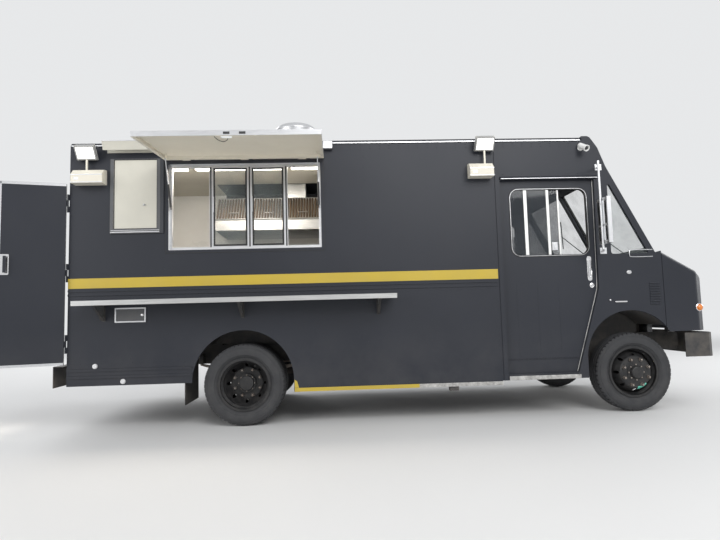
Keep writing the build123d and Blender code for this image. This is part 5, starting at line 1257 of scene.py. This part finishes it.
def filled_pad(shape):
    """A pad's blank, rounded off and filled out under pressure, lying on its flat back."""
    scene = bpy.context.scene
    edge_width, voxel, pressure, last_frame, most_swelling = 0.026, 0.006, 4, 20, 0.022
    item = bpy.data.objects.new("blank", shape.mesh())
    scene.collection.objects.link(item)
    edge = item.modifiers.new("Edge", "BEVEL")
    edge.width, edge.segments = edge_width, 4
    fine = item.modifiers.new("Fine", "REMESH")
    fine.mode, fine.voxel_size = "VOXEL", voxel
    mesh = evaluated_mesh(item)
    before = [vert.co.copy() for vert in mesh.vertices]
    item = bpy.data.objects.new("pad", mesh)
    scene.collection.objects.link(item)
    cloth = item.modifiers.new("Cloth", "CLOTH")
    cloth.settings.use_pressure = True
    cloth.settings.uniform_pressure_force = pressure
    cloth.settings.effector_weights.gravity = 0
    for step in range(1, last_frame + 1):
        scene.frame_set(step)
    mesh = evaluated_mesh(item)
    scene.frame_set(1)
    for vert, start in zip(mesh.vertices, before):
        move = vert.co - start
        if move.length > most_swelling:
            move *= most_swelling / move.length
        vert.co = start + move
        vert.co.z = max(vert.co.z, 0)
    return mesh


def sew_channels(mesh, length, width, thick):
    """Draws the cover in along its seams: two lengthwise, and flutes across the panel between them."""
    panel, depth, spread = width * 0.30, 0.010, 0.008
    across = [length * share for share in (-0.30, -0.15, 0.0, 0.15, 0.30)]
    for vert in mesh.vertices:
        u, v, w = vert.co
        if w < thick * 0.55:
            continue
        pull = 0.8 * max(0, 1 - (abs(abs(v) - panel) / spread) ** 2)
        if abs(v) < panel:
            pull = max(pull, *(max(0, 1 - ((u - line) / spread) ** 2) for line in across))
        vert.co.z = w - depth * pull


def soft_pad(name, length, width, thick, matrix):
    """One of the seat's pads with its welt, drawn lying down and then put in its place."""
    limits, corner = (-length / 2, length / 2, -width / 2, width / 2), 0.075
    mesh = filled_pad(Shape(own_frame=True).prism(rounded(*limits, corner, 6), "top", 0, thick))
    sew_channels(mesh, length, width, thick)
    skin = BVHTree.FromPolygons([vert.co for vert in mesh.vertices], [face.vertices for face in mesh.polygons])
    welt = Shape(own_frame=True)
    for height in (0.14, 0.80):
        edge = [skin.find_nearest(Vector((a * 1.05, b * 1.05, thick * height)))[0]
                for a, b in rounded(*limits, corner, 8)]
        welt.tube(edge + edge[:2], 0.0042, steps=8)
    mesh.transform(matrix)
    pad = finished(name, mesh, seat_vinyl(), smooth=180, replaces=("driver_seat",))
    finer = pad.modifiers.new("Smooth", "SUBSURF")
    finer.levels = finer.render_levels = 1
    welt.place(matrix).piece(f"{name}_welt", seat_vinyl(), bevel=0)


class OBJECT_OT_foodtruck_seat(bpy.types.Operator):
    """Driver's seat: stuffed cushion and back, back shell, pan, bellows, runners and pedestal"""
    bl_idname = "foodtruck.seat"
    bl_label = "Driver's seat"

    def execute(self, context):
        low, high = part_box("driver_seat")
        x, y, floor = low.x - origin.x + 0.120, (low.y + high.y) / 2 - origin.y, low.z - origin.z
        top = floor + 0.310
        soft_pad("seat_cushion", 0.450, 0.460, 0.085, Matrix.Translation(spot(x + 0.207, y, top)))
        up, out = Vector((-0.080, 0, 0.700)).normalized(), Vector((0.700, 0, 0.080)).normalized()
        lean = Matrix((up, (0, -1, 0), out)).transposed().to_4x4()
        lean = Matrix.Translation(spot(x - 0.078, y, top + 0.410)) @ lean
        soft_pad("seat_back", 0.640, 0.445, 0.074, lean @ Matrix.Translation((0, 0, 0.013)))
        shell = Shape(own_frame=True)
        shell.prism(rounded(-0.335, 0.325, -0.226, 0.226, 0.08, 6), "top", 0, 0.012)
        shell.prism(rounded(-0.26, 0.25, -0.16, 0.16, 0.06, 6), "top", -0.006, 0.0)
        shell.place(lean).piece("seat_back_shell", black_plastic(), slot="seat_cover", bevel=0.003)
        hinge = Shape()
        for side in (-1, 1):
            inner, outer = sorted((y + side * 0.228, y + side * 0.236))
            hinge.prism([(x - 0.020, top - 0.010), (x + 0.120, top - 0.010), (x + 0.095, top + 0.045),
                         (x - 0.005, top + 0.125), (x - 0.040, top + 0.330), (x - 0.068, top + 0.330),
                         (x - 0.052, top + 0.080)], "side", inner, outer)
            hinge.lathe([(0.024, 0), (0.024, 0.006), (0.017, 0.011), (0, 0.011), (0, 0)],
                        (x - 0.010, y + side * 0.236, top + 0.070), (0, side, 0), 24)
        lever = [(x + 0.06, y - 0.238, top + 0.020), (x + 0.10, y - 0.246, top + 0.028),
                 (x + 0.20, y - 0.246, top + 0.030), (x + 0.25, y - 0.246, top + 0.020)]
        hinge.tube(smooth_line(lever), 0.006, 10)
        hinge.piece("seat_hinges", black_enamel(), slot="seat_cover", bevel=0.0015)
        pan = Shape().prism(rounded(x - 0.030, x + 0.425, y - 0.228, y + 0.228, 0.05, 6), "top", top - 0.024,
                            top - 0.001)
        pan.prism(rounded(x - 0.010, x + 0.400, y - 0.19, y + 0.19, 0.04, 6), "top", top - 0.040, top - 0.024)
        for side in (-1, 1):
            near, far = sorted((y + side * 0.125, y + side * 0.160))
            pan.block((x - 0.015, x + 0.390), (near, far), (floor + 0.193, floor + 0.205))
            pan.block((x + 0.005, x + 0.370), (near + 0.006, far - 0.006), (floor + 0.205, floor + 0.222))
        pan.prism([(x + 0.020, floor + 0.006), (x + 0.360, floor + 0.006), (x + 0.340, floor + 0.193),
                   (x + 0.040, floor + 0.193)], "side", y - 0.150, y + 0.150)
        pan.block((x + 0.002, x + 0.378), (y - 0.168, y + 0.168), (floor, floor + 0.006))
        for a in (0.022, 0.358):
            for side in (-1, 1):
                pan.lathe([(0.011, 0), (0.011, 0.008), (0, 0.008), (0, 0)],
                          (x + a - 0.011, y + side * 0.158, floor + 0.006), (0, 0, 1), 6)
        pan.piece("seat_pedestal", black_enamel(), slot="seat_cover", bevel=0.002)
        folds = Shape()
        for i in range(6):
            z, out = floor + 0.205 + 0.0108 * i, 0.010 * (i % 2)
            fold = rounded(x + 0.015 - out, x + 0.365 + out, y - 0.120 - out, y + 0.120 + out, 0.03, 5)
            folds.prism(fold, "top", z, z + 0.0112)
        folds.piece("seat_bellows", black_rubber(), slot="seat_cover", bevel=0.003)
        return {"FINISHED"}


class OBJECT_OT_foodtruck_front(bpy.types.Operator):
    """Lamps, bezels, windshield rubbers, side markers and mirror glass at the front"""
    bl_idname = "foodtruck.front"
    bl_label = "Front"

    def execute(self, context):
        look = context.scene.lamp_look
        low, high = box_of("headlamps")
        x, z, lens_face = high.x, (low.z + high.z) / 2, (high.x - 0.004, high.x + 0.003)
        y_out, y_in = low.y, low.y + 0.2694
        middle = (y_out + y_in) / 2
        bezel = Shape().ring(rounded(y_out + 0.001, y_in - 0.001, z - 0.081, z + 0.081, 0.012),
                             rounded(y_out + 0.016, y_in - 0.016, z - 0.066, z + 0.066, 0.008), "front",
                             x - 0.01, x + 0.008)
        bezel.both_sides().piece("headlamp_bezels", chrome(), "hood")
        for name, finish_of, near, far in (
                ("headlamp_lenses", lens("clear fluted lens", (0.8, 0.83, 0.85)), middle - 0.045, y_in - 0.018),
                ("front_turn_lenses", lens("amber lens", look.amber), y_out + 0.018, middle - 0.049)):
            Shape().prism(rounded(near, far, z - 0.064, z + 0.064, 0.008), "front", *lens_face).both_sides() \
                .piece(name, finish_of, "hood", bevel=0.003)
        marker = [(0.034, 0), (0.034, 0.006), (0.028, 0.010), (0.027, 0.016), (0.018, 0.023), (0, 0.025),
                  (0, 0)]
        collar = [(0.040, -0.004), (0.040, 0.004), (0.0345, 0.007), (0.0345, -0.004)]
        place, out = (4.727, -hood_side(4.727), 1.056), (0.06, -1, 0)
        Shape().lathe(marker, place, out, steps=28).both_sides() \
            .piece("side_markers", lens("amber lens", look.amber), "hood", bevel=0)
        Shape().lathe(collar, place, out, steps=28).both_sides() \
            .piece("side_marker_collars", chrome(), "hood", bevel=0)
        rubber = Shape(own_frame=True)
        y_edge, y_post = wall_y - 0.062, 0.031
        outer = rounded(y_post - 0.004, y_edge + 0.008, glass_head - 0.012, glass_foot + 0.012, 0.03)
        inner = rounded(y_post + 0.014, y_edge - 0.012, glass_head + 0.010, glass_foot - 0.010, 0.02)
        for side in (1, -1):
            turned = [[(a * side, b) for a, b in line] for line in (outer, inner)]
            rubber.ring(*turned, "top", -0.020, 0.004)
        rubber.place(slope_frame()) \
            .piece("windshield_rubbers", black_rubber(), bevel=0.0025)
        plates = Shape()
        for z_low, z_high in ((1.745, 1.890), (1.905, 2.145)):
            plates.prism(rounded(skin_y - 0.310, skin_y - 0.130, z_low, z_high, 0.02), "front", 3.6215, 3.6235)
        plates.both_sides().piece("mirror_glass", mirror_silver(), bevel=0)
        return {"FINISHED"}


def hood_side(x):
    """How far out the bonnet's side is: it runs straight from the cab to a corner before the nose."""
    rear, front = (4.333, wall_y), (4.715, wall_y - 0.040)
    slope = (front[1] - rear[1]) / (front[0] - rear[0])
    return rear[1] + (x - rear[0]) * slope


def slope_frame():
    """The windshield's own frame: across it, down its slope and out of its face."""
    head, foot = Vector((3.800, 0, 2.560)), Vector((4.270, 0, 1.640))
    down = (foot - head).normalized()
    across = Vector((0, 1, 0))
    out = down.cross(across)
    turn = Matrix((across, down, out)).transposed().to_4x4()
    return Matrix.Translation(head + origin) @ turn


class OBJECT_OT_foodtruck_rear(bpy.types.Operator):
    """Tail lamps' collars, plate holder, door trims and step plate at the back"""
    bl_idname = "foodtruck.rear"
    bl_label = "Rear"

    def execute(self, context):
        collar = [(0.062, -0.002), (0.062, 0.010), (0.054, 0.014), (0.054, -0.002)]
        collars = Shape()
        for y in (wall_y - 0.10, -0.45):
            for i in range(3):
                collars.lathe(collar, (tail_x, y, tail_lamp_top - i * tail_lamp_pitch), (-1, 0, 0), 28)
        collars.piece("tail_lamp_collars", black_rubber(), bevel=0)
        Shape().prism(rounded(0.30, 0.62, 0.78, 0.95, 0.01), "front", tail_x - 0.004, tail_x) \
            .piece("plate_holder", black_plastic(), bevel=0.001)
        Shape().prism(rounded(0.308, 0.612, 0.788, 0.942, 0.008), "front", tail_x - 0.0062, tail_x - 0.004) \
            .piece("blank_plate", white_plastic(), bevel=0.0005)
        hinge_x, hinge_y = tail_x - 0.013, skin_y - 0.005

        def opened(shape):
            return shape.swing((hinge_x, hinge_y, 0), "Z", rear_door_open)

        outer, low, high = tail_x - 0.015 - 0.034, 0.660, 2.450
        near, far = hinge_y + 0.010, hinge_y + 0.590
        outside, within = (outer - 0.0015, outer + 0.0005), (outer + 0.0335, outer + 0.0355)
        height = (low, high)
        top, bottom = (high - 0.024, high + 0.0015), (low, low + 0.024)
        trim = Shape().block((outer - 0.0015, outer + 0.036), (far - 0.0005, far + 0.0015), height)
        trim.block(outside, (far - 0.024, far + 0.001), height)
        trim.block((outer - 0.0015, outer + 0.0355), (near, far + 0.0015), (high - 0.0005, high + 0.0015))
        trim.block(outside, (near, far), top).block(outside, (near, far), bottom)
        trim.block(within, (far - 0.024, far + 0.001), height)
        trim.block(within, (near + 0.012, far), top).block(within, (near + 0.012, far), bottom)
        opened(trim).piece("rear_door_edging", satin_aluminium(), "rear_door", bevel=0.0005)
        backing = rounded(far - 0.10, far - 0.025, 1.54, 1.74, 0.012)
        lock = Shape().prism(backing, "front", outer - 0.0035, outer)
        lock.block((outer + 0.0345, outer + 0.060), (far - 0.072, far - 0.048), (1.60, 1.66))
        opened(lock).piece("rear_door_lock", chrome(), "rear_door", bevel=0.0015)
        seal = Shape().ring(rounded(near + 0.030, far - 0.030, low + 0.030, high - 0.030, 0.02),
                            rounded(near + 0.044, far - 0.044, low + 0.044, high - 0.044, 0.012), "front",
                            outer + 0.034, outer + 0.044)
        opened(seal).piece("rear_door_seal", black_rubber(), "rear_door", bevel=0.002)
        tread = Shape(own_frame=True).block((-0.020, 0.020), (-0.003, 0.003), (0, 0.0016))
        tread.place(Matrix.Rotation(radians(45), 4, "Z"))
        lines = [((tail_x - back, start, 0.640), (0, 0.06, 0), count)
                 for back, start, count in ((0.075, -1.08, 36), (0.115, -1.05, 35), (0.148, -1.08, 36))]
        finished("rear_step_tread", rows(tread, lines, black_enamel()), black_enamel())
        return {"FINISHED"}


class OBJECT_OT_foodtruck_roof(bpy.types.Operator):
    """Fan hood's ribs, bands and bolts, and the seams over the roof's bows"""
    bl_idname = "foodtruck.roof"
    bl_label = "Roof"

    def execute(self, context):
        fan, bare = (0.480, 0.0, 2.9062), satin_aluminium()
        section = [(0.193, 0.345), (0.2565, 0.420), (0.2595, 0.420), (0.196, 0.345)]
        rib = Shape(own_frame=True).prism(section, "side", -0.0015, 0.0015)
        ribs = ring(rib, 36, bare, fan, (0, 0, 1))
        finished("fan_ribs", ribs, bare)
        band = [(0.2705, 0.128), (0.2735, 0.130), (0.2735, 0.176), (0.2705, 0.178)]
        guard = [(0.2620, 0.4545), (0.2660, 0.4550), (0.2660, 0.4640), (0.2600, 0.4650)]
        Shape().lathe(band, fan, (0, 0, 1), 48).lathe(guard, fan, (0, 0, 1), 48) \
            .piece("fan_bands", bare, bevel=0)
        bolt = standing(hex_nut(0.008, 0.006), 0.232, 0, 0.182)
        finished("fan_bolts", ring(bolt, 12, dull_steel(), fan, (0, 0, 1)), dull_steel())
        seams, line = Shape(), [(-1.10, 2.8925), (-0.6, 2.9012), (0, 2.9062), (0.6, 2.9012), (1.10, 2.8925)]
        top = [(y, z + 0.003) for y, z in line]
        for x in (-1.1, -0.5, 0.1, 0.85, 1.45, 2.05, 2.65, 3.25):
            seams.prism(line + list(reversed(top)), "front", x - 0.022, x + 0.022)
        seams.piece("roof_seams", coach_paint(), bevel=0.001)
        return {"FINISHED"}


class OBJECT_OT_foodtruck_kitchen(bpy.types.Operator):
    """Ceiling lights, grease filters, linings, cookers' knobs and cupboard doors inside"""
    bl_idname = "foodtruck.kitchen"
    bl_label = "Kitchen"

    def execute(self, context):
        look = context.scene.kitchen_look
        steel, pale, panel = brushed_steel(), cream_enamel(), white_panel()
        tubes, trays = Shape(), Shape()
        for x in ceiling_light_x:
            tubes.prism(rounded(-0.50, -0.38, 2.792, 2.832, 0.012), "front", x - 0.5, x + 0.5)
            trays.block((x - 0.52, x + 0.52), (-0.52, -0.36), (2.83, 2.848))
        tubes.piece("ceiling_lights", lens("ceiling light diffuser", (1.0, 0.97, 0.9), look.lamp), bevel=0.004)
        trays.piece("ceiling_light_trays", white_plastic(), bevel=0.002)
        sheet, cab_wall, extractor_rear, extractor_front = (2.845, 2.849), 2.59, -0.612, 1.212
        ceiling = Shape().block((tail_x + 0.045, cab_wall), (-1.13, 0.49), sheet)
        ceiling.block((tail_x + 0.045, extractor_rear), (0.492, 1.13), sheet)
        ceiling.block((extractor_front, cab_wall), (0.492, 1.13), sheet)
        ceiling.piece("ceiling_lining", pale, bevel=0)
        lining_rear = -1.66
        lining = Shape().block((lining_rear, pocket_x), (1.141, 1.1435), (1.68, 2.2))
        for rear, front in ((lining_rear, extractor_rear), (extractor_front, pocket_x)):
            lining.block((rear, front), (1.1405, 1.1435), (2.2, 2.79))
            lining.block((rear, front), (1.1325, 1.1348), (2.785, 2.845))
        lining.piece("wall_lining", panel, bevel=0)
        inner_wall, depth = Shape(), (-1.1435, -1.141)
        for rear, front, low in ((lining_rear, -0.79, 0.85), (0.86, pocket_x, 1.75), (-0.79, 0.86, 2.70)):
            inner_wall.block((rear, front), depth, (low, 2.79))
        inner_wall.piece("serving_wall_lining", panel, bevel=0)
        self.extractor(look.filter_pitch, steel)
        knob = Shape(own_frame=True).lathe([(0.018, 0), (0.018, 0.018), (0.014, 0.024), (0, 0.025), (0, 0)],
                                           (0, 0, 0), (0, -1, 0), 14)
        knobs = rows(knob, [((-0.45, 0.519, 1.72), (0.16, 0, 0), 4), ((0.30, 0.519, 1.73), (0.16, 0, 0), 2),
                            ((0.785, 0.519, 1.725), (0.11, 0, 0), 4)], black_plastic())
        finished("cooker_knobs", knobs, black_plastic())
        fronts = Shape()
        for i in range(5):
            x = -0.97 + i * 0.495
            fronts.prism(rounded(x, x + 0.475, 0.92, 1.56, 0.006), "side", 0.506, 0.519)
            if i:
                fronts.block((x + 0.10, x + 0.37), (0.490, 0.498), (1.50, 1.515))
        for i in range(4):
            x = 0.62 + i * 0.27
            fronts.prism(rounded(x, x + 0.255, 0.92, 1.66, 0.006), "side", -0.599, -0.587)
            fronts.block((x + 0.05, x + 0.20), (-0.580, -0.572), (1.60, 1.612))
        fronts.piece("cupboard_doors", steel, bevel=0.002)
        return {"FINISHED"}

    def extractor(self, pitch, steel):
        """The extractor's sloping bank of baffles, their rims and the hood's lip."""
        bank_width, bank_height, rim = 1.78, 0.34, 0.012
        section = [(0.0, 0.0), (pitch * 0.62, 0.0), (pitch * 0.62, 0.012), (pitch * 0.5, 0.020),
                   (pitch * 0.12, 0.020), (0.0, 0.012)]
        baffle = Shape(own_frame=True).prism(section, "side", 0.0, bank_height)
        line = ((0, 0, 0), (pitch, 0, 0), int(bank_width / pitch))
        bank = rows(baffle, [line], filter_steel(), own_frame=True)
        slope = 58.8
        lean = Matrix.Translation(spot(-0.58, 0.3115, 2.340)) @ Matrix.Rotation(radians(slope), 4, "X")
        bank.transform(lean)
        finished("grease_filters", bank, filter_steel())
        rims = Shape(own_frame=True)
        for low, high in ((-rim, 0.0), (bank_height, 0.352)):
            rims.block((-rim, 1.786), (low, high), (0, 0.022))
        for i in range(5):
            x = -rim + i * 0.4465
            rims.block((x, x + rim), (0.0, bank_height), (0, 0.0235))
            if i < 4:
                rims.block((x + 0.17, x + 0.29), (0.085, 0.093), (0.022, 0.034))
        rims.place(lean).piece("filter_rims", steel, bevel=0.001)
        lip = Shape().block((-0.602, 1.202), (0.296, 0.301), (2.195, 2.235))
        lip.block((-0.602, 1.202), (0.296, 0.340), (2.195, 2.199))
        lip.piece("hood_lip", steel, bevel=0.001)


class OBJECT_OT_foodtruck_chassis(bpy.types.Operator):
    """Spring bolts and clips, tank straps and cap, silencer bands, mud flaps and fittings low on the side"""
    bl_idname = "foodtruck.chassis"
    bl_label = "Chassis fittings"

    def execute(self, context):
        steel, dark = dull_steel(), black_enamel()
        bolts, clips = Shape(), Shape()
        for x, y, seat in springs:
            for end in (x - 0.045, x + 0.045):
                for edge in (-y - 0.0425, -y + 0.0425):
                    bolts.tube([(end, edge, seat - 0.09), (end, edge, seat + 0.052)], 0.008, 8)
                bolts.tube([(end, -y - 0.0425, seat + 0.055), (end, -y + 0.0425, seat + 0.055)], 0.008, 8)
            bolts.block((x - 0.062, x + 0.062), (-y - 0.052, -y + 0.052), (seat - 0.095, seat - 0.080))
            for end in (-0.30, 0.30):
                foot = seat + (end / 0.57) ** 2 * (0.559 - seat)
                outer, inner = [[(-y - half, foot + low), (-y + half, foot + low), (-y + half, foot + high),
                                 (-y - half, foot + high)]
                                for half, low, high in ((0.041, -0.004, 0.046), (0.0355, 0.001, 0.041))]
                clips.ring(outer, inner, "front", x + end - 0.018, x + end + 0.018)
        bolts.both_sides().piece("spring_bolts", steel, bevel=0.001)
        clips.both_sides().piece("spring_clips", steel, bevel=0.001)
        straps = Shape()
        for x in (1.45, 2.05):
            straps.ring(rounded(-1.0625, -0.5575, 0.3875, 0.7325, 0.072),
                        rounded(-1.0600, -0.5600, 0.3900, 0.7300, 0.070), "front", x - 0.025, x + 0.025)
        straps.piece("tank_straps", steel, bevel=0.0006)
        cap = [(0.040, 0), (0.040, 0.003), (0.037, 0.006), (0.026, 0.006), (0.024, 0.003), (0, 0.003), (0, 0)]
        Shape().lathe(cap, (2.0, -1.098, 0.600), (0, -1, 0), 28) \
            .piece("tank_cap", black_plastic(), bevel=0.001)
        bands = Shape()
        for x in (1.53, 2.17):
            bands.lathe([(0.104, -0.012), (0.108, -0.010), (0.108, 0.010), (0.104, 0.012)], (x, 0.720, 0.560),
                        (1, 0, 0), 32)
        bands.piece("silencer_bands", steel, bevel=0)
        Shape().block((-0.575, -0.565), (-1.165, -0.66), (0.23, 0.79)).both_sides() \
            .piece("mud_flaps", black_rubber(), bevel=0.003)
        Shape().block((2.06, 2.15), (-1.172, -1.10), (0.285, 0.331)) \
            .piece("sill_box", dark, bevel=0.003)
        dome = [(0.026, 0), (0.026, 0.006), (0.021, 0.014), (0, 0.018), (0, 0)]
        Shape().lathe(dome, (-1.438, skin_y, 0.637), (0, -1, 0), 24) \
            .lathe(dome, (-1.167, skin_y, 0.483), (0, -1, 0), 24) \
            .piece("rear_side_reflectors", lens("clear lens", (0.8, 0.8, 0.8)), bevel=0)
        Shape().ring(rounded(-1.252, -0.949, 1.057, 1.203, 0.006), rounded(-1.238, -0.963, 1.071, 1.189, 0.004),
                     "side", skin_y - 0.010, skin_y) \
            .piece("inlet_frame", satin_aluminium(), bevel=0.0012)
        door_y = skin_y - 0.0065
        Shape().prism(rounded(-1.237, -0.964, 1.072, 1.188, 0.004), "side", door_y, skin_y) \
            .piece("inlet_door", grey_frame(), bevel=0.0015)
        knob = [(0.014, 0), (0.014, 0.004), (0.008, 0.007), (0, 0.007), (0, 0)]
        Shape().lathe(knob, (-0.985, door_y, 1.130), (0, -1, 0), 20) \
            .piece("inlet_catch", chrome(), bevel=0)
        return {"FINISHED"}


operators = [
    OBJECT_OT_foodtruck_stage,
    OBJECT_OT_foodtruck_finishes,
    OBJECT_OT_foodtruck_stripes,
    OBJECT_OT_foodtruck_rivets,
    OBJECT_OT_foodtruck_tyres,
    OBJECT_OT_foodtruck_wheels,
    OBJECT_OT_foodtruck_serving_window,
    OBJECT_OT_foodtruck_hatch_trim,
    OBJECT_OT_foodtruck_side_window,
    OBJECT_OT_foodtruck_shelf,
    OBJECT_OT_foodtruck_lamps,
    OBJECT_OT_foodtruck_cab,
    OBJECT_OT_foodtruck_seat,
    OBJECT_OT_foodtruck_front,
    OBJECT_OT_foodtruck_rear,
    OBJECT_OT_foodtruck_roof,
    OBJECT_OT_foodtruck_kitchen,
    OBJECT_OT_foodtruck_chassis,
]


class VIEW3D_PT_foodtruck(bpy.types.Panel):
    bl_label = "Food Truck"
    bl_space_type = "VIEW_3D"
    bl_region_type = "UI"
    bl_category = "Food Truck"

    def draw(self, context):
        for kind in operators:
            self.layout.operator(kind.bl_idname)
        for name in settings:
            held = getattr(context.scene, name)
            for label in held.bl_rna.properties.keys():
                if label not in ("rna_type", "name"):
                    self.layout.prop(held, label)


settings = {"coachwork": CoachworkSettings, "tyre_look": TyreSettings, "kitchen_look": KitchenSettings,
            "lamp_look": LampSettings, "stage_look": StageSettings}


def register():
    for name, kind in settings.items():
        bpy.utils.register_class(kind)
        setattr(bpy.types.Scene, name, PointerProperty(type=kind))
    for kind in operators:
        bpy.utils.register_class(kind)
    bpy.utils.register_class(VIEW3D_PT_foodtruck)


def unregister():
    bpy.utils.unregister_class(VIEW3D_PT_foodtruck)
    for kind in reversed(operators):
        bpy.utils.unregister_class(kind)
    for name, kind in settings.items():
        delattr(bpy.types.Scene, name)
        bpy.utils.unregister_class(kind)


def main():
    register()
    for kind in operators:
        group, name = kind.bl_idname.split(".")
        getattr(getattr(bpy.ops, group), name)()


if __name__ == "__main__":
    main()
